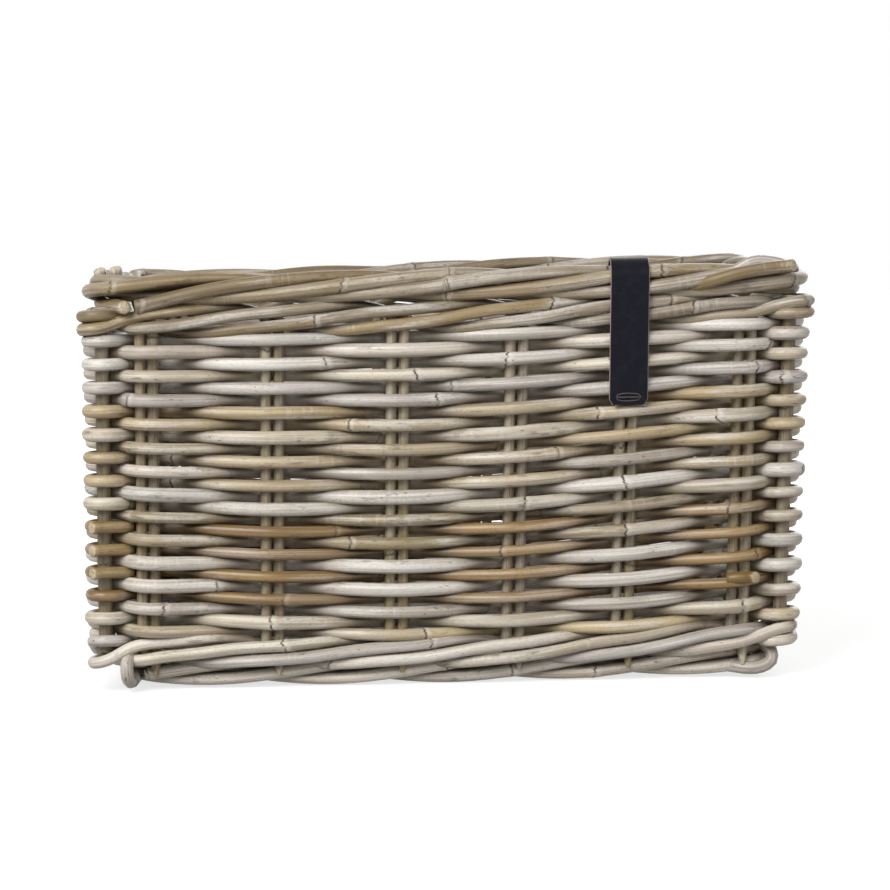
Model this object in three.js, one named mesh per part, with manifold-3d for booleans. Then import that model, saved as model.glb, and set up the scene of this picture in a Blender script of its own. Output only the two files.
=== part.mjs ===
import * as THREE from 'three';
import { mergeVertices } from 'three/addons/utils/BufferGeometryUtils.js';
import loadManifold from 'manifold-3d';

// A rectangular bicycle basket woven from round rattan, with a leather label folded over its rim.
// Millimetres, Z up. The front of the basket faces -Y.

// Walls. The sizes are taken between the middles of opposite walls.
const WALL_WIDTH_AT_FOOT = 438;
const WALL_DEPTH_AT_FOOT = 328;
const WALL_LEAN = 0.013; // how far a wall leans out for each millimetre of height
const CLEARANCE = 0.3; // left between rods that touch

// Stakes stand in pairs, between four thicker corner posts.
const STAKE_DIAMETER = 7;
const STAKE_GAP = 1.3; // between the two canes of a pair
const POST_DIAMETER = 9.2;
const FRONT_PAIRS = 6;
const SIDE_PAIRS = 4;
const FRONT_CORNER_SPACE = 29; // from a post to the nearest pair, on the front and the back
const SIDE_CORNER_SPACE = 30;
const FRONT_PAIR_DRIFT = [-1, 3, 7, 7, 2, 1]; // how far each front pair stands from its even place

// Weavers pass outside one stop and inside the next, in rows that alternate.
const WEAVER_DIAMETER = 7;
const ROW_GAP = 0.4;
const ROWS = 26;
const SHORT_WEAVER_ROUNDS = [1, 2, 2, 2, 2, 2, 2]; // rows 1, 3, 5 and so on, from the foot up
const LONG_WEAVER_ROUNDS = [1, 4, 2, 2, 2, 2]; // rows 2, 4, 6 and so on
const WEAVER_SEAM_INDEX = [16, 15]; // the stop, on the back wall, where a rod steps up to its next row
const STEP_UP_REACH = 27; // a step up starts and ends this far from the stop
const LARGEST_BEND = THREE.MathUtils.degToRad(60); // a sharper bend is drawn as an arc

// Wales: three rods, each outside two stops and inside the third.
const WALE_RODS = 3;
const WALE_EXTRA = 0.4; // the wales' cane is this much thicker than the weavers'
const WALE_DIAMETER = WEAVER_DIAMETER + WALE_EXTRA;
const WALE_STEP = WALE_DIAMETER * 1.25; // from the low outer rod to the high one
const WALE_DROP_REACH = 11; // an inner rod sinks from high to low this far each side of the stop

// The rolled borders are ropes of rods.
const BORDER_DIAMETER = 8.6;
const BORDER_RODS = 4;
const BORDER_TURNS = 5;
const FOOT_DIAMETER = 7.4;
const FOOT_RODS = 3;
const FOOT_TURNS = 8;
const FOOT_FLAT_DEPTH = 0.6; // cut flat where the basket stands
const ROPE_CORNER_RADIUS = 22;
const ROPE_STATIONS = 48; // evenly spread, with more in the corners
const ROPE_CORNER_STEPS = 3;

// The base: sticks from front to back, and two rods woven across them.
const STICK_DIAMETER = 6;
const STICK_OVERHANG = 3; // past the middle of the wall
const BASE_WEAVER_DIAMETER = 9;
const BASE_WEAVERS = 2;
const BASE_WALL_GAP = 1.5; // between the ends of the base rods and the wales

// The label, folded over the rim at one of the front pairs.
const LABEL_PAIR_INDEX = 5; // along the front, from the left
const LABEL_WIDTH = 25;
const LABEL_THICKNESS = 2;
const LABEL_STITCH_ROW = 20; // counted from the foot
const LABEL_TAIL = 5; // leather below the stitch
const LABEL_ARC_STEPS = 8;
const THREAD_DIAMETER = 1.2;
const THREAD_BEVEL = 1;
const THREAD_HOLE_CLEARANCE = 0.45; // all round the thread

// How many flat sides stand for a round rod.
const ROD_SIDES = 5;
const WALE_SIDES = 4;
const STAKE_SIDES = 6;

const UP = new THREE.Vector3(0, 0, 1);

const stakeRadius = STAKE_DIAMETER / 2;
const weaverRadius = WEAVER_DIAMETER / 2;
const waleRadius = WALE_DIAMETER / 2;
const stickRadius = STICK_DIAMETER / 2;
const pairHalfSpacing = (STAKE_DIAMETER + STAKE_GAP) / 2;

// Heights, stacked from the floor up.
const borderRopeRadius = ropeRadius(BORDER_RODS, BORDER_DIAMETER, BORDER_TURNS);
const footRopeRadius = ropeRadius(FOOT_RODS, FOOT_DIAMETER, FOOT_TURNS);
const borderReach = borderRopeRadius + BORDER_DIAMETER / 2;
const footReach = footRopeRadius + FOOT_DIAMETER / 2;
const waleReach = WALE_STEP / 2 + waleRadius;
const borderOutset = POST_DIAMETER / 2 + CLEARANCE + WALE_DIAMETER - borderReach; // flush with the wales
const rowPitch = WEAVER_DIAMETER + ROW_GAP;
const footZ = footRopeRadius + FOOT_DIAMETER / 2 * Math.cos(Math.PI / ROD_SIDES) - FOOT_FLAT_DEPTH;
const footTopZ = footZ + footReach;
const stakeFootZ = footTopZ + CLEARANCE;
const stickZ = footTopZ + CLEARANCE + stickRadius;
const bottomWaleZ = stickZ + stickRadius + CLEARANCE + waleReach;
const firstRowZ = bottomWaleZ + waleReach + CLEARANCE + weaverRadius;
const topWaleZ = rowZ(ROWS) + weaverRadius + CLEARANCE + waleReach;
const stakeTopZ = topWaleZ + waleReach;
const borderZ = stakeTopZ + CLEARANCE + borderReach;

function rowZ(row) {
  return firstRowZ + (row - 1) * rowPitch;
}

// The radius of the circle that the rods of a rope lie on. They run straight between stations and
// slant with the lay, and both draw them together by a cosine.
function ropeRadius(rods, diameter, turns) {
  const halfStep = Math.PI * turns / ROPE_STATIONS;
  const spread = (diameter + CLEARANCE) / (2 * Math.sin(Math.PI / rods)) / Math.cos(halfStep);
  const lay = Math.atan(Math.PI * spread * turns / (WALL_WIDTH_AT_FOOT + WALL_DEPTH_AT_FOOT));
  return spread / Math.cos(lay);
}

function halfWidth(z) {
  return WALL_WIDTH_AT_FOOT / 2 + WALL_LEAN * z;
}

function halfDepth(z) {
  return WALL_DEPTH_AT_FOOT / 2 + WALL_LEAN * z;
}

function at(plan, z) {
  return new THREE.Vector3(plan.x, plan.y, z);
}

// Walls in the order that a weaver meets them, anticlockwise from above.
function wall(name, along, outward, halfLength, halfSpan) {
  return {
    name,
    along: new THREE.Vector2(...along),
    outward: new THREE.Vector2(...outward),
    halfLength,
    halfSpan,
  };
}

const FRONT = wall('front', [1, 0], [0, -1], halfWidth, halfDepth);
const RIGHT = wall('right', [0, 1], [1, 0], halfDepth, halfWidth);
const BACK = wall('back', [-1, 0], [0, 1], halfWidth, halfDepth);
const LEFT = wall('left', [0, -1], [-1, 0], halfDepth, halfWidth);

// A stop is what a weaver passes: a corner post or a stake pair. Shares keep the pairs evenly fanned.
function wallStops(side, pairs, cornerSpace, drift) {
  const halfLength = side.halfLength(0);
  const spacing = 2 * (halfLength - cornerSpace) / (pairs - 1);
  return Array.from({ length: pairs }, (_, i) => {
    const place = cornerSpace - halfLength + i * spacing + (drift[i] ?? 0);
    return { name: `stake_pair_${side.name}_${i + 1}`, side, share: place / halfLength };
  });
}

function cornerStop(name, x, y) {
  return { name: `corner_post_${name}`, corner: new THREE.Vector2(x, y) };
}

const STOPS = [
  cornerStop('front_left', -1, -1),
  ...wallStops(FRONT, FRONT_PAIRS, FRONT_CORNER_SPACE, FRONT_PAIR_DRIFT),
  cornerStop('front_right', 1, -1),
  ...wallStops(RIGHT, SIDE_PAIRS, SIDE_CORNER_SPACE, []),
  cornerStop('back_right', 1, 1),
  ...wallStops(BACK, FRONT_PAIRS, FRONT_CORNER_SPACE, []),
  cornerStop('back_left', -1, 1),
  ...wallStops(LEFT, SIDE_PAIRS, SIDE_CORNER_SPACE, []),
];

function stopCentre(stop, z) {
  if (stop.corner) {
    return new THREE.Vector2(stop.corner.x * halfWidth(z), stop.corner.y * halfDepth(z));
  }
  const { along, outward, halfLength, halfSpan } = stop.side;
  return outward.clone().multiplyScalar(halfSpan(z)).addScaledVector(along, stop.share * halfLength(z));
}

// The first and last canes that a rod meets at a stop.
function stopCanes(stop, z) {
  const centre = stopCentre(stop, z);
  if (stop.corner) {
    return { first: centre, last: centre, radius: POST_DIAMETER / 2 };
  }
  const first = centre.clone().addScaledVector(stop.side.along, -pairHalfSpacing);
  const last = centre.clone().addScaledVector(stop.side.along, pairHalfSpacing);
  return { first, last, radius: stakeRadius };
}

function rightOf(angle) {
  return new THREE.Vector2(Math.sin(angle), -Math.cos(angle));
}

// The straight stretch between two stops, tangent to the canes on the sides that the rod takes.
function stretchBetween(from, to) {
  const span = to.first.clone().sub(from.last);
  const angle = span.angle() + Math.asin((from.reach - to.reach) / span.length());
  const right = rightOf(angle);
  return {
    angle,
    direction: new THREE.Vector2(Math.cos(angle), Math.sin(angle)),
    start: from.last.clone().addScaledVector(right, from.reach),
    end: to.first.clone().addScaledVector(right, to.reach),
  };
}

function meetingPoint(a, b) {
  const travel = b.start.clone().sub(a.end).cross(b.direction) / a.direction.cross(b.direction);
  return a.end.clone().addScaledVector(a.direction, travel);
}

// Where a rod bends at a stop: one point where its stretches meet, or an arc round a corner post.
function bendsAt(pass, before, after) {
  const turn = THREE.MathUtils.euclideanModulo(after.angle - before.angle + Math.PI, 2 * Math.PI) - Math.PI;
  if (turn < LARGEST_BEND) {
    return [meetingPoint(before, after)];
  }
  const steps = Math.ceil(turn / LARGEST_BEND);
  const reach = pass.reach / Math.cos(turn / steps / 2);
  return Array.from({ length: steps }, (_, i) => {
    const angle = before.angle + turn * (i + 0.5) / steps;
    return pass.last.clone().addScaledVector(rightOf(angle), reach);
  });
}

// A rod pulled taut round the basket at one height. isOutside says which stops it passes outside.
function tautRound(z, diameter, isOutside) {
  const passes = STOPS.map((stop, i) => {
    const canes = stopCanes(stop, z);
    const reach = canes.radius + diameter / 2 + CLEARANCE;
    return { ...canes, reach: isOutside(i) ? reach : -reach };
  });
  const stretches = passes.map((pass, i) => stretchBetween(pass, passes[(i + 1) % passes.length]));
  return passes.map((pass, i) => {
    const before = stretches.at(i - 1);
    const after = stretches[i];
    return { bends: bendsAt(pass, before, after), before, after };
  });
}

// Odd rows, counted from the foot, pass outside the odd stops, and even rows outside the even ones.
function weaverRound(row) {
  return tautRound(rowZ(row), WEAVER_DIAMETER, (i) => (i + row) % 2 === 0);
}

// One weaver: it fills every second row from firstRow, and steps up inside the seam stop.
function weaverPoints(firstRow, rounds, seam) {
  const points = [];
  for (let round = 0; round < rounds; round += 1) {
    const row = firstRow + 2 * round;
    const z = rowZ(row);
    const turns = weaverRound(row);
    const { bends: [seamBend], before, after } = turns[seam];
    if (round === 0) {
      points.push(at(seamBend, z));
    } else {
      points.push(at(seamBend, z - rowPitch));
      points.push(at(seamBend.clone().addScaledVector(after.direction, STEP_UP_REACH), z));
    }
    for (let i = 1; i < turns.length; i += 1) {
      points.push(...turns[(seam + i) % turns.length].bends.map((bend) => at(bend, z)));
    }
    if (round === rounds - 1) {
      points.push(at(seamBend, z));
    } else {
      points.push(at(seamBend.clone().addScaledVector(before.direction, -STEP_UP_REACH), z));
    }
  }
  return points;
}

// One rod of a wale: outside and low, outside and high, then inside, sinking from high to low.
function walePoints(rod, middleZ) {
  const lowZ = middleZ - WALE_STEP / 2;
  const highZ = middleZ + WALE_STEP / 2;
  const phase = (i) => THREE.MathUtils.euclideanModulo(i - rod, WALE_RODS);
  const turns = tautRound(middleZ, WALE_DIAMETER, (i) => phase(i) !== 2);
  return turns.flatMap(({ bends, before, after }, i) => {
    if (phase(i) === 0) {
      const rises = after.start.clone().lerp(after.end, 0.25);
      return [...bends.map((bend) => at(bend, lowZ)), at(rises, lowZ)];
    }
    if (phase(i) === 1) {
      const risen = before.start.clone().lerp(before.end, 0.75);
      return [at(risen, highZ), ...bends.map((bend) => at(bend, highZ))];
    }
    const sinks = bends[0].clone().addScaledVector(before.direction, -WALE_DROP_REACH);
    const sunk = bends[0].clone().addScaledVector(after.direction, WALE_DROP_REACH);
    return [at(sinks, highZ), at(bends[0], middleZ), at(sunk, lowZ)];
  });
}

// The legs of a rounded rectangle from the middle of the front: half a wall, a corner, a wall, and so on.
function ringLegs(halfX, halfY) {
  const straightX = halfX - ROPE_CORNER_RADIUS;
  const straightY = halfY - ROPE_CORNER_RADIUS;
  const arc = ROPE_CORNER_RADIUS * Math.PI / 2;
  return [straightX, arc, 2 * straightY, arc, 2 * straightX, arc, 2 * straightY, arc, straightX];
}

// How far along the ring each station lies: even steps, and the steps of the corners between them.
function ringStations(legs) {
  const length = legs.reduce((sum, leg) => sum + leg, 0);
  const evenly = Array.from({ length: ROPE_STATIONS }, (_, i) => length * i / ROPE_STATIONS);
  const nearest = length / ROPE_STATIONS / 8;
  const stations = [...evenly];
  let travel = 0;
  legs.forEach((leg, i) => {
    for (let step = 0; i % 2 === 1 && step <= ROPE_CORNER_STEPS; step += 1) {
      const station = travel + leg * step / ROPE_CORNER_STEPS;
      if (evenly.every((other) => Math.abs(other - station) > nearest)) {
        stations.push(station);
      }
    }
    travel += leg;
  });
  return stations.sort((a, b) => a - b).map((station) => ({ travel: station, share: station / length }));
}

// The point at a distance along the ring, and the direction that faces out there.
function ringPoint(halfX, halfY, legs, distance) {
  let travel = distance;
  let leg = 0;
  while (leg < legs.length - 1 && travel > legs[leg]) {
    travel -= legs[leg];
    leg += 1;
  }
  const straightX = halfX - ROPE_CORNER_RADIUS;
  const straightY = halfY - ROPE_CORNER_RADIUS;
  if (leg % 2 === 1) {
    const corner = (leg - 1) / 2;
    const [cornerX, cornerY] = [[1, -1], [1, 1], [-1, 1], [-1, -1]][corner];
    const outward = rightOf(corner * Math.PI / 2 + travel / ROPE_CORNER_RADIUS);
    const centre = new THREE.Vector2(cornerX * straightX, cornerY * straightY);
    return { point: centre.addScaledVector(outward, ROPE_CORNER_RADIUS), outward };
  }
  const side = [FRONT, RIGHT, BACK, LEFT, FRONT][leg / 2];
  const lead = [0, -straightY, -straightX, -straightY, -straightX][leg / 2];
  const reach = side.outward.x === 0 ? halfY : halfX;
  const point = side.outward.clone().multiplyScalar(reach).addScaledVector(side.along, lead + travel);
  return { point, outward: side.outward };
}

// One rod of a rope that runs round the basket at height z. It starts at the bottom of the rope.
function ropePoints(rod, rods, turns, circle, z, outset) {
  const halfX = halfWidth(z) + outset;
  const halfY = halfDepth(z) + outset;
  const legs = ringLegs(halfX, halfY);
  return ringStations(legs).map(({ travel, share }) => {
    const { point, outward } = ringPoint(halfX, halfY, legs, travel);
    const angle = 2 * Math.PI * (turns * share + rod / rods) - Math.PI / 2;
    return at(point.addScaledVector(outward, circle * Math.cos(angle)), z + circle * Math.sin(angle));
  });
}

// A rod of even thickness along points. A closed rod has no ends. up sets which way a corner points.
function rodGeometry(points, diameter, sides, { closed = false, up = UP } = {}) {
  const count = points.length;
  const positions = [];
  points.forEach((point, i) => {
    const heading = new THREE.Vector3();
    if (closed || i > 0) {
      heading.add(point.clone().sub(points.at(i - 1)).normalize());
    }
    if (closed || i < count - 1) {
      heading.add(points[(i + 1) % count].clone().sub(point).normalize());
    }
    heading.normalize();
    const across = heading.clone().cross(up).normalize();
    const rise = across.clone().cross(heading);
    for (let k = 0; k < sides; k += 1) {
      const angle = Math.PI / 2 + 2 * Math.PI * k / sides;
      const corner = point.clone().addScaledVector(across, Math.cos(angle) * diameter / 2);
      corner.addScaledVector(rise, Math.sin(angle) * diameter / 2);
      positions.push(corner.x, corner.y, corner.z);
    }
  });
  const faces = [];
  const rings = closed ? count : count - 1;
  for (let i = 0; i < rings; i += 1) {
    const here = i * sides;
    const next = (i + 1) % count * sides;
    for (let k = 0; k < sides; k += 1) {
      const turned = (k + 1) % sides;
      faces.push(here + k, next + k, here + turned);
      faces.push(here + turned, next + k, next + turned);
    }
  }
  if (!closed) {
    const end = (count - 1) * sides;
    for (let k = 1; k < sides - 1; k += 1) {
      faces.push(0, k, k + 1);
      faces.push(end, end + k + 1, end + k);
    }
  }
  const geometry = new THREE.BufferGeometry();
  geometry.setAttribute('position', new THREE.Float32BufferAttribute(positions, 3));
  geometry.setIndex(faces);
  return geometry;
}

// Boolean cuts.
const manifold = await loadManifold();
manifold.setup();

function toSolid(geometry) {
  const bare = geometry.clone();
  bare.deleteAttribute('normal');
  bare.deleteAttribute('uv');
  const merged = mergeVertices(bare);
  return new manifold.Manifold(new manifold.Mesh({
    numProp: 3,
    vertProperties: Float32Array.from(merged.attributes.position.array),
    triVerts: Uint32Array.from(merged.index.array),
  }));
}

function cut(geometry, cutters) {
  const solid = cutters.reduce((left, cutter) => left.subtract(toSolid(cutter)), toSolid(geometry));
  const mesh = solid.getMesh();
  const result = new THREE.BufferGeometry();
  result.setAttribute('position', new THREE.BufferAttribute(mesh.vertProperties, 3));
  result.setIndex(new THREE.BufferAttribute(mesh.triVerts, 1));
  return result;
}

// A stake pair: one cane folded under the border, so that both its legs stand in the wall.
function stakePairGeometry(stop) {
  const { along, outward } = stop.side;
  const foldZ = stakeTopZ - stakeRadius - pairHalfSpacing;
  const caneAt = (sideways, z) => at(stopCentre(stop, z).addScaledVector(along, sideways), z);
  const fold = [180, 135, 90, 45, 0].map((degrees) => {
    const angle = THREE.MathUtils.degToRad(degrees);
    return caneAt(pairHalfSpacing * Math.cos(angle), foldZ + pairHalfSpacing * Math.sin(angle));
  });
  const legs = [caneAt(-pairHalfSpacing, stakeFootZ), ...fold, caneAt(pairHalfSpacing, stakeFootZ)];
  return rodGeometry(legs, STAKE_DIAMETER, STAKE_SIDES, { up: at(outward, 0) });
}

function cornerPostGeometry(stop) {
  const ends = [stakeFootZ, stakeTopZ].map((z) => at(stopCentre(stop, z), z));
  return rodGeometry(ends, POST_DIAMETER, STAKE_SIDES, { up: at(stop.corner, 0) });
}

// Foot rods are cut flat where they meet the floor.
function footRodGeometry(rod) {
  const points = ropePoints(rod, FOOT_RODS, FOOT_TURNS, footRopeRadius, footZ, 0);
  const floor = new THREE.BoxGeometry(4 * halfWidth(0), 4 * halfDepth(0), footReach);
  floor.translate(0, 0, -footReach / 2);
  return cut(rodGeometry(points, FOOT_DIAMETER, ROD_SIDES, { closed: true }), [floor]);
}

// Base sticks stand midway between the pairs of the front and of the back.
function stickPlaces() {
  const front = STOPS.filter((stop) => stop.side === FRONT).map((stop) => stopCentre(stop, stickZ).x);
  const back = STOPS.filter((stop) => stop.side === BACK).map((stop) => stopCentre(stop, stickZ).x);
  back.reverse();
  return front.slice(1).map((x, i) => (x + front[i] + back[i] + back[i + 1]) / 4);
}

function stickGeometry(x) {
  const reach = halfDepth(stickZ) + STICK_OVERHANG;
  const ends = [-reach, reach].map((y) => new THREE.Vector3(x, y, stickZ));
  return rodGeometry(ends, STICK_DIAMETER, STAKE_SIDES);
}

// Where the base weavers end, inside the walls.
const baseInset = STAKE_DIAMETER + WALE_DIAMETER + BASE_WALL_GAP + BASE_WEAVER_DIAMETER / 2;
const baseEndX = halfWidth(stickZ) - baseInset;
const baseEndY = halfDepth(stickZ) - baseInset;
const passesThatFit = Math.floor(2 * baseEndY / (BASE_WEAVER_DIAMETER + ROW_GAP)) + 1;
const passesPerWeaver = Math.floor(passesThatFit / BASE_WEAVERS);

// A base weaver goes to and fro across the sticks, over one and under the next.
function baseWeaverPoints(firstPass) {
  const places = stickPlaces();
  const lastPass = BASE_WEAVERS * passesPerWeaver - 1;
  const reach = stickRadius + BASE_WEAVER_DIAMETER / 2 + CLEARANCE;
  const points = [];
  for (let pass = firstPass; pass < firstPass + passesPerWeaver; pass += 1) {
    const y = THREE.MathUtils.lerp(-baseEndY, baseEndY, pass / lastPass);
    const ahead = pass % 2 === 0;
    const line = places.map((x, i) => {
      const over = (i + pass) % 2 === 0;
      const spaces = places.filter((other) => other !== x).map((other) => Math.abs(other - x));
      const height = reach / Math.cos(Math.asin(2 * reach / Math.min(...spaces)));
      return new THREE.Vector3(x, y, stickZ + (over ? height : -height));
    });
    const ends = [-baseEndX, baseEndX].map((x) => new THREE.Vector3(x, y, stickZ));
    const row = [ends[0], ...line, ends[1]];
    points.push(...(ahead ? row : row.reverse()));
  }
  return points;
}

// How far a rod that goes out and in reaches from the middle of the wall at the label.
function reachAtLabel(diameter) {
  const stop = STOPS[LABEL_PAIR_INDEX];
  const turns = tautRound(borderZ, diameter, (i) => (i + LABEL_PAIR_INDEX) % 2 === 0);
  const [bend] = turns[LABEL_PAIR_INDEX].bends;
  return bend.sub(stopCentre(stop, borderZ)).dot(stop.side.outward) + diameter / 2;
}

const wallReach = Math.max(reachAtLabel(WEAVER_DIAMETER), reachAtLabel(WALE_DIAMETER));
const labelGap = CLEARANCE + LABEL_THICKNESS / 2;
const labelOuterReach = Math.max(wallReach, borderReach + borderOutset) + labelGap;
const labelInnerReach = Math.max(wallReach, borderReach - borderOutset) + labelGap;
const labelX = stopCentre(STOPS[LABEL_PAIR_INDEX], rowZ(LABEL_STITCH_ROW)).x;
const labelEndZ = rowZ(LABEL_STITCH_ROW) - LABEL_TAIL;
const threadGap = (LABEL_THICKNESS + THREAD_DIAMETER) / 2 + CLEARANCE;
const threadHalfWidth = pairHalfSpacing + stakeRadius + THREAD_DIAMETER / 2 + 2 * CLEARANCE;

// A point beside the front wall, so far out from its middle.
function besideFront(x, out, z) {
  return new THREE.Vector3(x, -halfDepth(z) - out, z);
}

// One face of the folded leather, from the outer leaf over the rim to the inner leaf.
function labelFace(offset) {
  const rise = borderReach + labelGap + offset;
  const arc = Array.from({ length: LABEL_ARC_STEPS + 1 }, (_, i) => {
    const angle = Math.PI * i / LABEL_ARC_STEPS;
    const outer = 2 * i < LABEL_ARC_STEPS;
    const reach = outer ? labelOuterReach - borderOutset : labelInnerReach + borderOutset;
    const out = borderOutset + (reach + offset) * Math.cos(angle);
    return besideFront(0, out, borderZ + rise * Math.sin(angle));
  });
  const outerEnd = besideFront(0, labelOuterReach + offset, labelEndZ);
  const innerEnd = besideFront(0, -labelInnerReach - offset, labelEndZ);
  return [outerEnd, ...arc, innerEnd];
}

// The thread leaves the front between two rows and comes out inside one row higher, clear of both.
function threadEnds(x) {
  const front = besideFront(x, labelOuterReach + threadGap, rowZ(LABEL_STITCH_ROW));
  const back = besideFront(x, -labelInnerReach - threadGap, rowZ(LABEL_STITCH_ROW + 1));
  return [front, back];
}

function labelStrapGeometry() {
  const outline = [...labelFace(LABEL_THICKNESS / 2), ...labelFace(-LABEL_THICKNESS / 2).reverse()];
  const profile = new THREE.Shape(outline.map(({ y, z }) => new THREE.Vector2(y, z)));
  const strap = new THREE.ExtrudeGeometry(profile, { depth: LABEL_WIDTH, bevelEnabled: false });
  const across = new THREE.Vector3(1, 0, 0);
  strap.applyMatrix4(new THREE.Matrix4().makeBasis(UP.clone().cross(across), UP, across));
  strap.translate(labelX - LABEL_WIDTH / 2, 0, 0);
  const holes = [-threadHalfWidth, threadHalfWidth].map((sideways) => {
    const [front, back] = threadEnds(labelX + sideways);
    const past = back.clone().sub(front).setLength(LABEL_THICKNESS);
    const hole = [front.clone().sub(past), back.clone().add(past)];
    return rodGeometry(hole, THREAD_DIAMETER + 2 * THREAD_HOLE_CLEARANCE, STAKE_SIDES);
  });
  return cut(strap, holes);
}

function labelThreadGeometry() {
  const [frontLeft, backLeft] = threadEnds(labelX - threadHalfWidth);
  const [frontRight, backRight] = threadEnds(labelX + threadHalfWidth);
  const corners = [frontLeft, frontRight, backRight, backLeft];
  const points = corners.flatMap((corner, i) => [corners.at(i - 1), corners[(i + 1) % 4]].map((other) => {
    return corner.clone().add(other.clone().sub(corner).setLength(THREAD_BEVEL));
  }));
  const up = frontRight.clone().sub(frontLeft).cross(backLeft.clone().sub(frontLeft)).normalize();
  return rodGeometry(points, THREAD_DIAMETER, STAKE_SIDES, { closed: true, up });
}

// Finishes.
const weaverFinish = new THREE.MeshStandardMaterial({ color: 0xb8a98f, roughness: 0.5, metalness: 0 });
const brownFinish = new THREE.MeshStandardMaterial({ color: 0x9c7f55, roughness: 0.5, metalness: 0 });
const stakeFinish = new THREE.MeshStandardMaterial({ color: 0x968769, roughness: 0.55, metalness: 0 });
const borderFinish = new THREE.MeshStandardMaterial({ color: 0xa59673, roughness: 0.5, metalness: 0 });
const leatherFinish = new THREE.MeshStandardMaterial({ color: 0x1c1d24, roughness: 0.6, metalness: 0 });
const threadFinish = new THREE.MeshStandardMaterial({ color: 0x26242a, roughness: 0.8, metalness: 0 });

const basket = new THREE.Group();

function place(name, geometry, material) {
  geometry.computeVertexNormals();
  const mesh = new THREE.Mesh(geometry, material);
  mesh.name = name;
  basket.add(mesh);
}

function placeWeavers(name, roundsList, firstRow, seam, brownRod) {
  let row = firstRow;
  roundsList.forEach((rounds, i) => {
    const finish = i === brownRod ? brownFinish : weaverFinish;
    const rod = rodGeometry(weaverPoints(row, rounds, seam), WEAVER_DIAMETER, ROD_SIDES);
    place(`${name}_${i + 1}`, rod, finish);
    row += 2 * rounds;
  });
}

STOPS.forEach((stop) => {
  place(stop.name, stop.corner ? cornerPostGeometry(stop) : stakePairGeometry(stop), stakeFinish);
});

const BROWN_ROD = 1; // the second of the long weavers is the brown one
placeWeavers('weaver_short', SHORT_WEAVER_ROUNDS, 1, WEAVER_SEAM_INDEX[0], -1);
placeWeavers('weaver_long', LONG_WEAVER_ROUNDS, 2, WEAVER_SEAM_INDEX[1], BROWN_ROD);

function placeWale(name, middleZ) {
  for (let rod = 0; rod < WALE_RODS; rod += 1) {
    const geometry = rodGeometry(walePoints(rod, middleZ), WALE_DIAMETER, WALE_SIDES, { closed: true });
    place(`${name}_rod_${rod + 1}`, geometry, weaverFinish);
  }
}

placeWale('bottom_wale', bottomWaleZ);
placeWale('top_wale', topWaleZ);

for (let rod = 0; rod < BORDER_RODS; rod += 1) {
  const points = ropePoints(rod, BORDER_RODS, BORDER_TURNS, borderRopeRadius, borderZ, borderOutset);
  const geometry = rodGeometry(points, BORDER_DIAMETER, ROD_SIDES, { closed: true });
  place(`rim_border_rod_${rod + 1}`, geometry, borderFinish);
}

for (let rod = 0; rod < FOOT_RODS; rod += 1) {
  place(`foot_border_rod_${rod + 1}`, footRodGeometry(rod), borderFinish);
}

stickPlaces().forEach((x, i) => place(`base_stick_${i + 1}`, stickGeometry(x), stakeFinish));

for (let rod = 0; rod < BASE_WEAVERS; rod += 1) {
  const points = baseWeaverPoints(rod * passesPerWeaver);
  place(`base_weaver_${rod + 1}`, rodGeometry(points, BASE_WEAVER_DIAMETER, WALE_SIDES), weaverFinish);
}

place('label_strap', labelStrapGeometry(), leatherFinish);
place('label_thread', labelThreadGeometry(), threadFinish);

// The origin is under the middle of the whole basket, on the floor.
const extent = new THREE.Box3().setFromObject(basket);
const middle = extent.getCenter(new THREE.Vector3());
basket.position.set(-middle.x, -middle.y, -extent.min.z);

export default basket;
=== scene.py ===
import cmath
import math
import random
from collections import namedtuple

import bpy
import numpy as np
from mathutils import Matrix, Vector, noise


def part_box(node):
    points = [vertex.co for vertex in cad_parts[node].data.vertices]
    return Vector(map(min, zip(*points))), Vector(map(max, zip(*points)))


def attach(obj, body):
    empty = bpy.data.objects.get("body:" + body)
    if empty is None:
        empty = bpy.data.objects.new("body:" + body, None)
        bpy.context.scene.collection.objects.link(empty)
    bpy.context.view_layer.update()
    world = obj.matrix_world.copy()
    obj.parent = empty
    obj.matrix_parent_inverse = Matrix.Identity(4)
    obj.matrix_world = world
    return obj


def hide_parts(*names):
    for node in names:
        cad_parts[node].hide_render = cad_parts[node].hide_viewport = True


# A rectangular bicycle basket of grey-washed round rattan, with a blank leather label on its rim.
# Metres, Z up. The front of the basket faces -Y. Plan points are complex numbers, x + y * 1j.

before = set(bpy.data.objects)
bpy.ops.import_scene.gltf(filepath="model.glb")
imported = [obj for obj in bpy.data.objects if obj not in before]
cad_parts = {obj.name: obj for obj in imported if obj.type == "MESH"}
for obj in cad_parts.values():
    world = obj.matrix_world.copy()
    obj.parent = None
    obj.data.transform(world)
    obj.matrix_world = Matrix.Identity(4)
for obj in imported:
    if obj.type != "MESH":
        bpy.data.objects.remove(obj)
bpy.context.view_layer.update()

ROOT = "root"

# Construction sizes, the same as the solids'.
WALL_WIDTH_AT_FOOT = 0.438
WALL_DEPTH_AT_FOOT = 0.328
WALL_LEAN = 0.013
CLEARANCE = 0.0003
STAKE_DIAMETER = 0.007
STAKE_GAP = 0.0013
POST_DIAMETER = 0.0092
FRONT_PAIRS = 6
SIDE_PAIRS = 4
FRONT_CORNER_SPACE = 0.029
SIDE_CORNER_SPACE = 0.030
FRONT_PAIR_DRIFT = [-0.001, 0.003, 0.007, 0.007, 0.002, 0.001]
WEAVER_DIAMETER = 0.007
ROW_GAP = 0.0004
SHORT_WEAVER_ROUNDS = [1, 2, 2, 2, 2, 2, 2]
LONG_WEAVER_ROUNDS = [1, 4, 2, 2, 2, 2]
WEAVER_SEAMS = [16, 15]
STEP_UP_REACH = 0.027
LARGEST_BEND = math.radians(60)
WALE_RODS = 3
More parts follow.
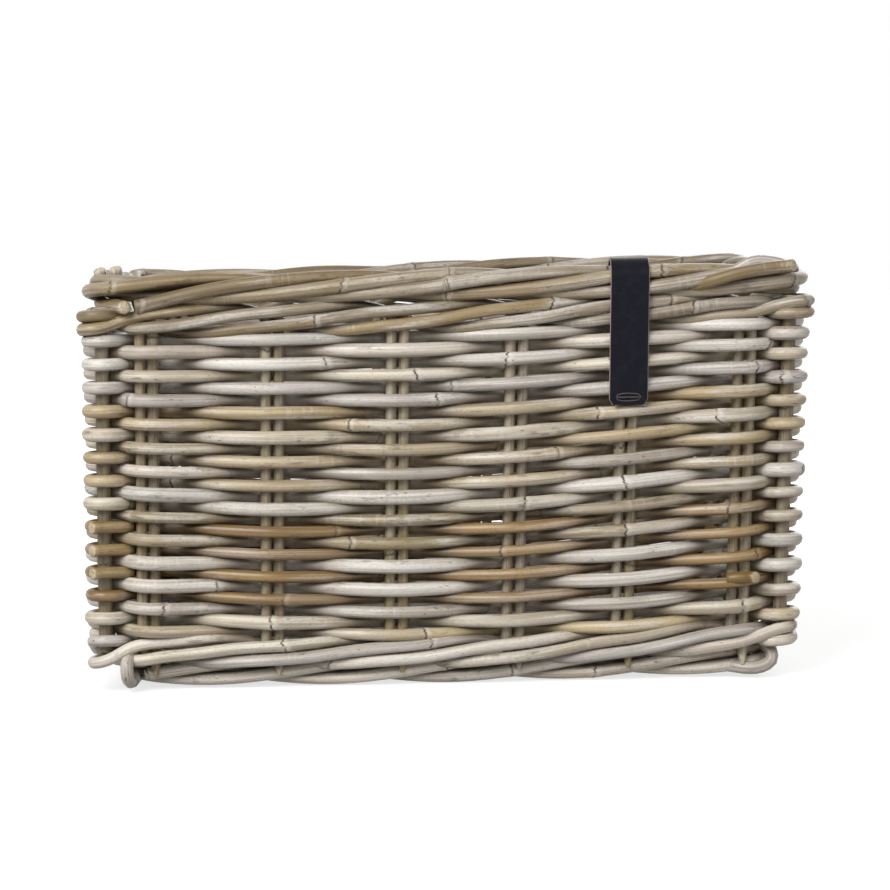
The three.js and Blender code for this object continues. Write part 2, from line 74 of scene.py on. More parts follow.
WALE_DIAMETER = 0.0074
WALE_STEP = WALE_DIAMETER * 1.25
WALE_DROP_REACH = 0.011
WALE_SLOPE_PLACE = 0.3  # where a wale's slope between two stops begins, as a share of that stretch
WALE_SLOPE_RISE = 0.25  # how far it has risen there, as a share of the step
BORDER_DIAMETER = 0.0086
BORDER_RODS = 4
BORDER_TURNS = 5
FOOT_RODS = 3
ROPE_CORNER_RADIUS = 0.022
ROPE_STATIONS_PER_TURN = 24
STICKS = 5
STICK_DIAMETER = 0.006
BASE_WEAVER_DIAMETER = 0.009
BASE_WEAVERS = 2
BASE_WALL_GAP = 0.0015
LABEL_WIDTH = 0.025
LABEL_THICKNESS = 0.002
LABEL_STITCH_ROW = 20

# How the canes of the photograph differ from the plain rods.
WALE_CANE = 0.0078
TOP_WALE_SLACK = 0.004  # how far a wale stands off at the corners
BOTTOM_WALE_SLACK = -0.0015
WALE_EASE = 4  # rings each way over which a wale's ups and downs are smoothed
ROW_EASE = 12  # rings each way over which a weaver takes on the look of its next row
BORDER_CANE = 0.0090
BORDER_SLACK = 0.0015  # the rim stands a little further out than its solids
BORDER_WANDER = 0.0014  # how far the rim's rods stray from an even rope
WANDER_LENGTH = 0.08
RIM_GROOVE_REACH = 1.15  # how far the shade between the rim's rods reaches, in half heights of the rim
FOOT_CANE = 0.0084
FOOT_HALF_RISE = 0.0056  # how far the foot's rods rise and sink from the middle of their rope
FOOT_HALF_BREADTH = FOOT_HALF_RISE * 0.85
FOOT_FLOOR_GAP = 0.0004
FOOT_Z = FOOT_HALF_RISE + FOOT_CANE / 2 + FOOT_FLOOR_GAP
FOOT_INSET = 0.007
FOOT_VISIBLE_TURNS = 6
FOOT_END_LIFT = 0.003  # the corners of the foot stand a little off the floor
SIDEWAYS_LEAN = 0.026  # the whole basket leans to the right as it rises
LEAN_LEVEL = 0.13
ROW_SAG = 0.009  # the rows hang in the middle of the front and of the back
SAG_LOST_AT_CORNERS = 0.85
SAG_DEPTHS = (0, 0.6)  # where the sag grows, as shares of the way from the upper wale to the lower one
RIGHT_LIFT = 0.0065  # the rows climb towards the right,
LIFT_ACROSS = (-0.1, 0.8)  # between these places, where the left wall is at -1 and the right one at 1
LIFT_DEPTHS = (-0.05, 0.15)
LIFT_FADE_DEPTHS = (0.55, 1)
SWAY_TOGETHER = 0.0009  # small ups and downs that neighbouring rows share
SWAY_ALONE = 0.0003
SWAY_LENGTH = 0.11
SWAY_ACROSS = 11  # how fast the shared sway changes, in ups and downs to the metre
SWAY_UP = 14
SWAY_SEED = 3.7
WALE_CORNER_DIP = 0.006
WALE_DIP_BELOW = (-0.003, 0.006)
WALE_DIP_LEFTWARD = (0.8, 1)
WALE_DIP_FORWARD = (0.11, 0.16)
BACK_SWELL = 0.09  # weavers and wales are a little thicker at the back, so that the wall is close there
BACK_SWELL_Y = (0.05, 0.14)
RIM_DIP = 0.004  # the rim hangs at the back left
RIM_DIP_Y = (-0.05, 0.1)
RIM_DIP_LEFTWARD = (-0.2, 0.3)
STAKE_STEP = 0.008
STAKE_TIP_DROP = 0.008  # one cane of each front and back pair reaches down over the foot
STAKE_TIP_LEAN = 0.0045
TIP_LENGTH = 0.011
TIP_WIDTH = 0.35  # a stake's blunt point, as a share of its thickness
TIP_CURVE = 0.7
LABEL_CLIP = 0.0022
LABEL_EDGE = 0.0007
LABEL_LIFT = 0.0024  # the leather stands a little off the top of the rim
LABEL_STATIONS = 24  # points along each leaf, and steps over the fold
THREAD_DIAMETER = 0.0012
THREAD_PLACES = (0.08, 0.5, 0.92)  # along each side of the thread's loop, so that its corners are round
SLOT_HALF_HEIGHT = 0.0019
SLOT_RADIUS = 0.00035
SLOT_POINTS = 32

# How finely canes are drawn, and how uneven they are. A pair is the range of a random draw, unless its
# comment says otherwise.
ROD_STEP = 0.0035
ROD_SIDES = 12
FIRST_NODE = (0.05, 0.25)
NODE_SPACING = (0.12, 0.32)
NODE_SLANT = (-0.6, 0.6)
NODE_SHADE = (0.8, 1.12)  # from node to node a cane is darker or paler,
NODE_GREY = (0.0, 0.4)  # and more or less greyed
NODE_SWELL = 0.00045
NODE_SWELL_LENGTH = 0.004
NO_NODE = 0.06  # the distance to the nearest node, where there is none near
UNEVEN_THICKNESS = (0.04, 0.16)  # how much, and over which length
UNEVEN_ROUNDNESS = (0.03, 0.09)  # the same
FIBRE_SHIFT = (0.37, 0.11)  # times the seed, so that no two canes have the same streaks
WAVE_SHIFT = (7.31, 1.7)  # the same for waves
CUT_FACE = 0.8  # a cut end's flat face, as a share of the cane's thickness
CUT_EDGE_RISE = 0.12  # how far the face stands out at its edge and in its middle, in radii
CUT_MIDDLE_RISE = 0.2
CUT_PALENESS = 0.65  # how much of a cut face is pith

# The first random seed of each kind of cane. A weaver's comes from its first row. Each wave along a cane
# adds its own amount to the cane's seed.
WEAVER_SEED_STEP = 20
STAKE_SEED = 200
BOTTOM_WALE_SEED = 300
TOP_WALE_SEED = 310
BORDER_SEED = 320
FOOT_SEED = 330
RIM_STUB_SEED = 340
FOOT_LOOP_SEED = 345
BROWN_END_SEED = 348
BROWN_CUT_SEED = 350
STICK_SEED = 400
BASE_WEAVER_SEED = 410
THREAD_SEED = 450
SLOT_SEED = 451


# Tints, as linear colours.
def linear(red, green, blue):
    return np.array([((part / 255 + 0.055) / 1.055) ** 2.4 for part in (red, green, blue)])


WHITE_GREY = linear(204, 199, 191)
MAUVE_GREY = linear(182, 175, 169)
PINK_BEIGE = linear(190, 179, 165)
CREAM = linear(201, 191, 171)
TAN = linear(180, 163, 129)
OLIVE_TAN = linear(155, 139, 105)
HONEY = linear(168, 146, 101)
BROWN = linear(142, 112, 61)
STAKE_TAN = linear(158, 141, 104)
BORDER_TAN = linear(132, 113, 76)
BORDER_OLIVE = linear(119, 102, 68)
BORDER_GREY = linear(137, 121, 91)
FOOT_GREY = linear(206, 197, 183)
PITH = linear(209, 192, 162)
LEAF_GREY = linear(186, 180, 172)
WASH = linear(213, 208, 201)
FLECK = linear(52, 41, 32)
NODE_RING = linear(60, 45, 34)
LEATHER = linear(12, 14, 21)
SCUFFED_LEATHER = linear(20, 22, 31)
LEATHER_EDGE = linear(150, 128, 124)
THREAD_TINT = linear(46, 42, 48)
SLOT_TINT = linear(84, 72, 71)
BASE_SHADE = 0.85  # the base weavers are darker than their tint

# How much tints grow darker and paler along a cane, and over which length.
WEAVER_MOTTLE = (0.10, 0.22)
WALE_MOTTLE = (0.1, 0.2)
ROPE_MOTTLE = (0.12, 0.15)
STAKE_MOTTLE = (0.15, 0.1)
BASE_MOTTLE = (0.1 / BASE_SHADE, 0.2)

# What darkens a cane, as shares of its own tint: its own streaks and stains, and painted shade.
DARK_STREAK = (0.56, 0.5, 0.43)
DEEP_STAIN = (0.3, 0.27, 0.24)
# painted shade, the colour a cane takes where other canes shade it
PAINTED_SHADE = (0.28, 0.245, 0.2)

# How much painted shade darkens canes where other canes or the walls shade them, from 0 to 1.
INSIDE_SHADE = 0.6  # painted shade on skin that faces into the basket, where the walls shade it
STAKE_SHADE = 0.12
POST_SHADE = 0.6
STICK_SHADE = 0.2
BASE_WEAVER_SHADE = 0.1
SHADE_EDGE = 0.0062  # skin this far from the middle of a wall is out of its shade,
SHADE_CORE = 0.0003  # and skin this near lies fully in it
FACING_IN = (-0.2, 0.6)  # where skin faces inwards by these shares, its shade begins and is full
GROOVE_DEPTHS = (0.28, 0.62)  # the same for skin that lies this deep in a rope

# The tint and the thickness of the cane in each row, from the foot up, as they look in the photograph.
ROW_TINTS = [
    TAN, CREAM, PINK_BEIGE, BROWN, WHITE_GREY, BROWN, WHITE_GREY, BROWN, OLIVE_TAN, BROWN, OLIVE_TAN, CREAM,
    WHITE_GREY, TAN, PINK_BEIGE, HONEY, TAN, CREAM, TAN, HONEY, MAUVE_GREY, MAUVE_GREY, CREAM, WHITE_GREY,
    PINK_BEIGE, WHITE_GREY,
]
ROW_CANES = [
    0.0080, 0.0087, 0.0081, 0.0073, 0.0090, 0.0076, 0.0090, 0.0072, 0.0079, 0.0073, 0.0075, 0.0088, 0.0094,
    0.0079, 0.0077, 0.0079, 0.0077, 0.0089, 0.0079, 0.0086, 0.0086, 0.0081, 0.0081, 0.0081, 0.0090, 0.0079,
]
FOOT_WALE_TINTS = (FOOT_GREY, CREAM, MAUVE_GREY)
RIM_WALE_TINTS = (BORDER_TAN, BORDER_GREY, BORDER_OLIVE)
BORDER_TINTS = (BORDER_TAN, BORDER_OLIVE, BORDER_GREY, BORDER_TAN)

# The brown weaver is spliced at the right of the front, where a frayed end stands out.
BROWN_GREYING = 0.45  # it has greyed less than the others
BROWN_END_RADIUS = 0.0040
BROWN_END_TINT = BROWN * 0.7
BROWN_END = [
    (0.1840, -0.1740, 0.0668), (0.1915, -0.1775, 0.0679), (0.1965, -0.1815, 0.0686),
    (0.2000, -0.1865, 0.0690),
]
# Three cut ends lie over its rows beside the front left post, at these plan points from the post.
BROWN_CUT_ROWS = (6, 8, 10)
BROWN_CUT_RADIUS = 0.0040
BROWN_CUT_TINT = (BROWN + OLIVE_TAN) / 2
BROWN_CUT_END = [0.017 + 0.0004j, 0.009 - 0.0054j, 0.002 - 0.0098j, -0.0034 - 0.0126j, -0.0066 - 0.0154j]

# One rod of the rim has both its ends at the front left corner, where they show.
RIM_CUT_ROD = 3
RIM_CUT_X = -0.199
RIM_CUT_SPAN = 0.9816
RIM_CUT_DROP = 0.0055
RIM_CUT_REACH = 0.04
RIM_END = [(0.0045, -0.012, 0.001), (0.0130, -0.027, 0.0015), (0.0185, -0.0385, 0.002)]
# Ends stand out of the rim: two stubs at the left, and a long end with a bent one behind it at the right.
RIM_STUB_RADIUS = 0.0041
RIM_STUB_TINTS = [MAUVE_GREY, MAUVE_GREY, BORDER_TAN, MAUVE_GREY]
RIM_STUBS = [
    [(-0.2210, -0.140, 0.2590), (-0.2230, -0.144, 0.2660), (-0.2250, -0.147, 0.2735)],
    [(-0.2105, -0.148, 0.2600), (-0.2125, -0.152, 0.2670), (-0.2140, -0.155, 0.2745)],
    [
        (0.1568, -0.1700, 0.2563), (0.1699, -0.1790, 0.2604), (0.1898, -0.1835, 0.2657),
        (0.2054, -0.1820, 0.2680), (0.2142, -0.1790, 0.2686), (0.2211, -0.1845, 0.2693),
    ],
    [
        (0.1850, -0.1660, 0.2653), (0.1904, -0.1690, 0.2685), (0.1954, -0.1700, 0.2711),
        (0.2000, -0.1690, 0.2720), (0.2081, -0.1670, 0.2714), (0.2155, -0.1650, 0.2699),
        (0.2217, -0.1630, 0.2675),
    ],
]

# One rod of the foot ends at the front left corner too, and bent loops stand at both front corners.
FOOT_CUT_ROD = 0
FOOT_CUT_X = -0.193
FOOT_CUT_SPAN = 0.965
FOOT_LOOP_RADIUS = 0.0044
FOOT_LOOP_TINT = FOOT_GREY * 0.85
FOOT_LOOPS = [
    [
        (-0.2010, -0.157, 0.0060), (-0.2030, -0.1680, 0.0045), (-0.2045, -0.1740, 0.0090),
        (-0.2050, -0.1745, 0.0150), (-0.2040, -0.1690, 0.0210), (-0.2010, -0.158, 0.0230),
    ],
    [
        (0.1880, -0.158, 0.0060), (0.1980, -0.1640, 0.0045), (0.2080, -0.1650, 0.0050),
        (0.2145, -0.1630, 0.0085), (0.2150, -0.1600, 0.0140), (0.2100, -0.1560, 0.0190),
    ],
]

# The stage.
WHITE = (1, 1, 1, 1)
WHITE_FOR = ("Is Camera Ray", "Is Glossy Ray", "Is Transmission Ray")
FLOOR_SIZE = 8.0
FLOOR_GREY = (0.38, 0.38, 0.38, 1)
FLOOR_GLOW = 0.72  # the floor's brightness beside the basket, which rises to 1 over these distances
FLOOR_GLOW_RANGE = (0.35, 1.2)
WORLD_STRENGTH = 0.05
LIGHT_AIM = (0, 0, 0.15)
LIGHTS = [  # name, place, width and height, power
    ("key_softbox", (-1.1, -1.7, 1.45), (1.6, 1.3), 66),
    ("fill_softbox", (1.5, -1.8, 0.9), (1.4, 1.2), 15),
    ("back_softbox", (0.9, 1.9, 1.1), (1.6, 1.2), 30),
]
CAMERA_DISTANCE = 2.08  # from the middle of the basket
CAMERA_HEIGHT = 0.31
CAMERA_LENS = 120.0
CAMERA_SENSOR = 36.0
CAMERA_ROLL = math.radians(-1.0)
CAMERA_TURN = math.radians(1.5)  # how far left of straight ahead the camera stands
CAMERA_AIM = (0.0, -0.18, 0.158)

SQUARE = [(-1, -1), (1, -1), (1, 1), (-1, 1)]


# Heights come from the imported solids.
def node_box(name):
    low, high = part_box(name)
    return Vector(low), Vector(high)


def middle_z(name, count):
    """The middle height of the nodes that are numbered from name_1 up."""
    boxes = [node_box(f"{name}_{i + 1}") for i in range(count)]
    return (min(low.z for low, _ in boxes) + max(high.z for _, high in boxes)) / 2


post_low, _ = node_box("corner_post_front_left")
_, post_high = node_box("corner_post_back_right")
WALL_CENTRE = complex((post_low.x + post_high.x) / 2, (post_low.y + post_high.y) / 2)
STAKE_FOOT_Z = post_low.z
STAKE_TOP_Z = post_high.z
STICK_Z = middle_z("base_stick", 1)
BOTTOM_WALE_Z = middle_z("bottom_wale_rod", WALE_RODS)
TOP_WALE_Z = middle_z("top_wale_rod", WALE_RODS)
BORDER_Z = middle_z("rim_border_rod", BORDER_RODS)
BORDER_TOP_Z = node_box("rim_border_rod_1")[1].z
ROW_PITCH = WEAVER_DIAMETER + ROW_GAP
FIRST_ROW_Z = BOTTOM_WALE_Z + (WALE_STEP + WALE_DIAMETER + WEAVER_DIAMETER) / 2 + CLEARANCE
PAIR_HALF_SPACING = (STAKE_DIAMETER + STAKE_GAP) / 2
POST_FOOT_Z = BOTTOM_WALE_Z - WALE_STEP / 2  # the posts end hidden in the wale


def row_z(row):
    return FIRST_ROW_Z + (row - 1) * ROW_PITCH


def half_width(z):
    return WALL_WIDTH_AT_FOOT / 2 + WALL_LEAN * z


def half_depth(z):
    return WALL_DEPTH_AT_FOOT / 2 + WALL_LEAN * z


label_low, label_high = node_box("label_strap")
LABEL_X = (label_low.x + label_high.x) / 2
LABEL_OUTER = WALL_CENTRE.imag - label_low.y - half_depth(BORDER_Z) - LABEL_THICKNESS / 2
LABEL_INNER = label_high.y - WALL_CENTRE.imag + half_depth(label_low.z) - LABEL_THICKNESS / 2
LABEL_RISE = label_high.z - BORDER_Z - LABEL_THICKNESS / 2

# Walls and stops, in the order that a weaver meets them, anticlockwise from above.
Wall = namedtuple("Wall", "name along outward half_length half_span")
FRONT = Wall("front", 1, -1j, half_width, half_depth)
RIGHT = Wall("right", 1j, 1, half_depth, half_width)
BACK = Wall("back", -1, 1j, half_width, half_depth)
LEFT = Wall("left", -1j, -1, half_depth, half_width)


class Stop(namedtuple("Stop", "name wall share corner", defaults=(None, 0.0, None))):
    """What a weaver passes: a corner post, or a stake pair on a wall."""

    def centre(self, z):
        if self.corner:
            return WALL_CENTRE + complex(self.corner.real * half_width(z), self.corner.imag * half_depth(z))
        along = self.wall.along * self.share * self.wall.half_length(z)
        return WALL_CENTRE + self.wall.outward * self.wall.half_span(z) + along

    def canes(self, z):
        centre = self.centre(z)
        if self.corner:
            return centre, centre, POST_DIAMETER / 2
        offset = self.wall.along * PAIR_HALF_SPACING
        return centre - offset, centre + offset, STAKE_DIAMETER / 2


def wall_stops(wall, pairs, corner_space, drift=None):
    half_length = wall.half_length(0)
    spacing = 2 * (half_length - corner_space) / (pairs - 1)
    places = [corner_space - half_length + i * spacing + (drift[i] if drift else 0) for i in range(pairs)]
    return [Stop(f"stake_pair_{wall.name}_{i + 1}", wall, x / half_length) for i, x in enumerate(places)]


STOPS = [
    Stop("corner_post_front_left", corner=-1 - 1j),
    *wall_stops(FRONT, FRONT_PAIRS, FRONT_CORNER_SPACE, FRONT_PAIR_DRIFT),
    Stop("corner_post_front_right", corner=1 - 1j),
    *wall_stops(RIGHT, SIDE_PAIRS, SIDE_CORNER_SPACE),
    Stop("corner_post_back_right", corner=1 + 1j),
    *wall_stops(BACK, FRONT_PAIRS, FRONT_CORNER_SPACE),
    Stop("corner_post_back_left", corner=-1 + 1j),
    *wall_stops(LEFT, SIDE_PAIRS, SIDE_CORNER_SPACE),
]


# Taut rods: straight stretches tangent to the canes, and the points where those stretches meet.
def cross(a, b):
    return (a.conjugate() * b).imag


def right_of(angle):
    return cmath.rect(1, angle - math.pi / 2)


class Stretch:
    """The straight part of a taut rod from one stop to the next."""

    def __init__(self, last, reach, next_first, next_reach):
        span = next_first - last
        self.angle = cmath.phase(span) + math.asin((reach - next_reach) / abs(span))
        self.direction = cmath.rect(1, self.angle)
        self.start = last + right_of(self.angle) * reach
        self.end = next_first + right_of(self.angle) * next_reach

    def point(self, share):
        return self.start * (1 - share) + self.end * share


def bends_at(centre, reach, before, after):
    turn = (after.angle - before.angle + math.pi) % (2 * math.pi) - math.pi
    if turn < LARGEST_BEND:
        travel = cross(after.start - before.end, after.direction) / cross(before.direction, after.direction)
        return [before.end + before.direction * travel]
    steps = math.ceil(turn / LARGEST_BEND)
    reach /= math.cos(turn / steps / 2)
    return [centre + right_of(before.angle + turn * (i + 0.5) / steps) * reach for i in range(steps)]


def taut_round(z, diameter, is_outside):
    """At each stop: the bends of a rod that goes round at height z, and the stretches before and after."""
    passes = []
    for i, stop in enumerate(STOPS):
        first, last, radius = stop.canes(z)
        reach = radius + diameter / 2 + CLEARANCE
        passes.append((first, last, reach if is_outside(i) else -reach))
    stretches = []
    for i, (_, last, reach) in enumerate(passes):
        next_first, _, next_reach = passes[(i + 1) % len(passes)]
        stretches.append(Stretch(last, reach, next_first, next_reach))
    return [
        (bends_at(last, reach, stretches[i - 1], stretches[i]), stretches[i - 1], stretches[i])
        for i, (_, last, reach) in enumerate(passes)
    ]


def at(plan, z):
    return (plan.real, plan.imag, z)


def weaver_points(first_row, rounds, seam):
    """The points of one weaver: a bend at each stop and a point half way between stops."""
    points = []
    for turn in range(rounds):
        row = first_row + 2 * turn
        z = row_z(row)
        stops = taut_round(z, WEAVER_DIAMETER, lambda i: (i + row) % 2 == 0)
        (seam_bend,), before, after = stops[seam]
        if turn == 0:
            points.append(at(seam_bend, z))
        else:
            points.append(at(seam_bend, z - ROW_PITCH))
            points.append(at(seam_bend + after.direction * STEP_UP_REACH, z))
        for i in range(1, len(STOPS)):
            bends, into, _ = stops[(seam + i) % len(STOPS)]
            if turn == 0 or i > 1:
                points.append(at(into.point(0.5), z))
            points.extend(at(bend, z) for bend in bends)
        if turn == rounds - 1:
            points.append(at(before.point(0.5), z))
            points.append(at(seam_bend, z))
        else:
            points.append(at(seam_bend - before.direction * STEP_UP_REACH, z))
    return np.array(points)


def wale_points(rod, z, slack):
    """The points of one wale rod: outside two stops while it rises, then down behind the third."""
    low = z - WALE_STEP / 2
    high = z + WALE_STEP / 2
    rise = WALE_SLOPE_RISE * WALE_STEP
    stops = taut_round(z, WALE_DIAMETER, lambda i: (i - rod) % WALE_RODS != 2)
    points = []
    for i, (bends, before, after) in enumerate(stops):
        phase = (i - rod) % WALE_RODS
        if STOPS[i].corner and phase < 2:
            bends = [bend + slack * STOPS[i].corner / abs(STOPS[i].corner) for bend in bends]
        if phase == 0:
            points.extend(at(bend, low) for bend in bends)
            points.append(at(after.point(WALE_SLOPE_PLACE), low + rise))
        elif phase == 1:
            points.append(at(before.point(1 - WALE_SLOPE_PLACE), high - rise))
            points.extend(at(bend, high) for bend in bends)
        else:
            points.append(at(bends[0] - before.direction * WALE_DROP_REACH, high))
            points.append(at(bends[0], z))
            points.append(at(bends[0] + after.direction * WALE_DROP_REACH, low))
    return np.array(points)


# A rope ring: rods that turn round each other along a rounded rectangle.
def ring_length(half_x, half_y):
    straight = 2 * (half_x + half_y - 2 * ROPE_CORNER_RADIUS)
    return 2 * straight + 2 * math.pi * ROPE_CORNER_RADIUS


def ring_point(half_x, half_y, distance):
    """A plan point and its outward direction, at a distance along the ring from the middle of the front."""
    straight_x = half_x - ROPE_CORNER_RADIUS
    straight_y = half_y - ROPE_CORNER_RADIUS
    arc = ROPE_CORNER_RADIUS * math.pi / 2
    travel = distance + straight_x
    for wall in (FRONT, RIGHT, BACK, LEFT, FRONT):
        straight, reach = (straight_y, half_x) if wall in (RIGHT, LEFT) else (straight_x, half_y)
        if travel <= 2 * straight:
            return WALL_CENTRE + wall.outward * reach + wall.along * (travel - straight), wall.outward
        travel -= 2 * straight
        if travel <= arc:
            outward = wall.outward * cmath.rect(1, travel / ROPE_CORNER_RADIUS)
            centre = wall.outward * (reach - ROPE_CORNER_RADIUS) + wall.along * straight
            return WALL_CENTRE + centre + outward * ROPE_CORNER_RADIUS, outward
        travel -= arc
    raise ValueError("distance is past the end of the ring")


def rope_points(rod, rods, turns, half_breadth, half_rise, z, outset, start=0.0, span=1.0):
    """One rod of a rope. It starts and ends where start and span say, as shares of the whole ring."""
    half_x = half_width(z) + outset
    half_y = half_depth(z) + outset
    length = ring_length(half_x, half_y)
    stations = turns * ROPE_STATIONS_PER_TURN
    points = []
    for i in range(stations):
        share = start + span * i / stations
        plan, outward = ring_point(half_x, half_y, length * (share % 1))
        angle = 2 * math.pi * (turns * share + rod / rods) - math.pi / 2
        points.append(at(plan + outward * half_breadth * math.cos(angle), z + half_rise * math.sin(angle)))
    return np.array(points)


def rope_core(path, z, outset):
    """The middle of the rope beside each point of one of its rods."""
    offset = path[:, :2] - [WALL_CENTRE.real, WALL_CENTRE.imag]
    straight = np.array([half_width(z) + outset, half_depth(z) + outset]) - ROPE_CORNER_RADIUS
    corner = np.clip(offset, -straight, straight)
    plan = corner + unit(offset - corner) * ROPE_CORNER_RADIUS + [WALL_CENTRE.real, WALL_CENTRE.imag]
    return np.column_stack([plan, np.full(len(path), z)])


# Curves and waves.
def unit(vectors):
    return vectors / np.linalg.norm(vectors, axis=1)[:, None]


def travel_along(points):
    """The distance from the first point to each point."""
    return np.concatenate([[0], np.cumsum(np.linalg.norm(np.diff(points, axis=0), axis=1))])


def from_ends(travel):
    return np.minimum(travel, travel[-1] - travel)


def smooth_path(points, closed):
    """A smooth curve through points, as samples an even step apart, and the distance to each sample."""
    if closed:
        points = np.vstack([points[-2:], points, points[:3]])
    else:
        points = np.vstack([2 * points[0] - points[1], points, 2 * points[-1] - points[-2]])
    spans = np.diff(travel_along(points))[:, None]
    slopes = np.diff(points, axis=0) / spans
    tangents = (slopes[1:] * spans[:-1] + slopes[:-1] * spans[1:]) / (spans[:-1] + spans[1:])
    first, last = (2, len(points) - 3) if closed else (1, len(points) - 2)
    samples = []
    for i in range(first, last):
        span = spans[i, 0]
        t = np.linspace(0, 1, max(4, math.ceil(span / ROD_STEP * 3)), endpoint=False)[:, None]
        samples.append(
            (2 * t**3 - 3 * t**2 + 1) * points[i]
            + (t**3 - 2 * t**2 + t) * span * tangents[i - 1]
            + (3 * t**2 - 2 * t**3) * points[i + 1]
            + (t**3 - t**2) * span * tangents[i]
        )
    curve = np.vstack(samples + [points[last][None]])
    travel = travel_along(curve)
    even = np.linspace(0, travel[-1], max(8, round(travel[-1] / ROD_STEP)), endpoint=not closed)
    return np.stack([np.interp(even, travel, curve[:, axis]) for axis in range(3)], axis=1), even


def wave(seed, values, length):
    """A smooth random number between about -1 and 1 at each value, changing over length."""
    shifts = [seed * shift for shift in WAVE_SHIFT]
    return np.array([noise.noise(Vector((value / length, *shifts))) for value in values])


def mottled(tint, seed, travel, amount, length):
    """A tint that grows darker and paler along a cane."""
    return tint * (1 + amount * wave(seed, travel, length)[:, None])


def ramp(values, low, high):
    return np.clip((values - low) / (high - low), 0, 1)


def soft_ramp(values, low, high):
    share = ramp(values, low, high)
    return share * share * (3 - 2 * share)


# How the basket differs from its plan. A settle function says how far points have moved up.
def across_wall(points):
    """-1 at the left wall, 1 at the right wall."""
    return np.clip((points[:, 0] - WALL_CENTRE.real) / half_width(0), -1, 1)


def level(points):
    return np.zeros(len(points))


def settled_rows(points):
    """The rows sag in the middle and climb towards the right."""
    across = across_wall(points)
    depth = (TOP_WALE_Z - points[:, 2]) / (TOP_WALE_Z - BOTTOM_WALE_Z)
    sag = ROW_SAG * (1 - SAG_LOST_AT_CORNERS * across**2) * np.sin(math.pi / 2 * ramp(depth, *SAG_DEPTHS))
    lift = RIGHT_LIFT * soft_ramp(across, *LIFT_ACROSS) * ramp(depth, *LIFT_DEPTHS)
    return lift * (1 - soft_ramp(depth, *LIFT_FADE_DEPTHS)) - sag


def settled_foot_wale(points):
    """The lowest rods of the wale above the foot also dip at the front left corner."""
    below = soft_ramp(BOTTOM_WALE_Z - points[:, 2], *WALE_DIP_BELOW)
    leftward = soft_ramp(-across_wall(points), *WALE_DIP_LEFTWARD)
    at_corner = leftward * soft_ramp(-points[:, 1], *WALE_DIP_FORWARD)
    return settled_rows(points) - WALE_CORNER_DIP * below * at_corner


def raised_corners(points):
    return FOOT_END_LIFT * across_wall(points) ** 2


def dipped_rim(points):
    leftward = soft_ramp(-across_wall(points), *RIM_DIP_LEFTWARD)
    return -RIM_DIP * soft_ramp(points[:, 1], *RIM_DIP_Y) * leftward


def raised_label(points):
    return np.full(len(points), LABEL_LIFT)


def hand_made(points, settle):
    """Points moved up as settle says, and sideways as the whole basket leans."""
    moved = points.copy()
    moved[:, 2] += settle(points)
    moved[:, 0] += SIDEWAYS_LEAN * (points[:, 2] - LEAN_LEVEL)
    return moved


# Where the walls are.
def wall_offsets(path):
    """How far each point is outside the middle of the side walls, and of the front and back walls."""
    beside_x = np.abs(path[:, 0] - WALL_CENTRE.real) - WALL_WIDTH_AT_FOOT / 2
    beside_y = np.abs(path[:, 1] - WALL_CENTRE.imag) - WALL_DEPTH_AT_FOOT / 2
    return np.stack([beside_x, beside_y], axis=1) - WALL_LEAN * path[:, 2:]


def outward_at(path):
    """The outward direction of the wall nearest to each point."""
    on_side = np.diff(wall_offsets(path), axis=1)[:, 0] < 0
    outward_x = np.sign(path[:, 0] - WALL_CENTRE.real) * on_side
    outward_y = np.sign(path[:, 1] - WALL_CENTRE.imag) * ~on_side
    return np.stack([outward_x, outward_y, np.zeros(len(path))], axis=1)


def hidden_in_wall(points):
    """How much painted shade darkens a point: 1 for points between the canes of a wall, 0 for those that
    bulge out of it or into the basket.
    """
    return soft_ramp(-np.abs(wall_offsets(points).max(axis=1)), -SHADE_EDGE, -SHADE_CORE)


# Meshes.
ROD_ANGLES = 2 * math.pi * np.arange(ROD_SIDES) / ROD_SIDES
ROD_COS = np.cos(ROD_ANGLES)
ROD_SIN = np.sin(ROD_ANGLES)
ATTRIBUTE_KINDS = {1: ("FLOAT", "value"), 3: ("FLOAT_VECTOR", "vector"), 4: ("FLOAT_COLOR", "color")}


def ring_axes(heading, up):
    """The unit direction of a cane at each ring, and those across it and above it."""
    heading = unit(heading)
    across = unit(np.cross(heading, up))
    return heading, across, np.cross(across, heading)


def cane_nodes(travel, random_source):
    """At each ring: the distance along the cane to its nearest node, that node's slant, and how much
    darker or paler and how much greyer the cane is between its two nodes."""
    places = [0.0, random_source.uniform(*FIRST_NODE)]
    while places[-1] < travel[-1]:
        places.append(places[-1] + random_source.uniform(*NODE_SPACING))
    ranges = (NODE_SLANT, NODE_SHADE, NODE_GREY)
    slants, shades, greys = [np.array([random_source.uniform(*limits) for _ in places]) for limits in ranges]
    places = np.array(places)
    nearest = np.abs(travel[:, None] - places).argmin(axis=1)
    between = np.searchsorted(places, travel, side="right") - 1
    return travel - places[nearest], slants[nearest], shades[between], greys[between]


def write_attribute(mesh, name, values):
    kind, field = ATTRIBUTE_KINDS[values.size // len(values)]
    attribute = mesh.attributes.new(name, kind, "POINT")
    attribute.data.foreach_set(field, np.ascontiguousarray(values, np.float32).ravel())


def linked(name, data):
    """A new object in the scene."""
    item = bpy.data.objects.new(name, data)
    bpy.context.collection.objects.link(item)
    return item


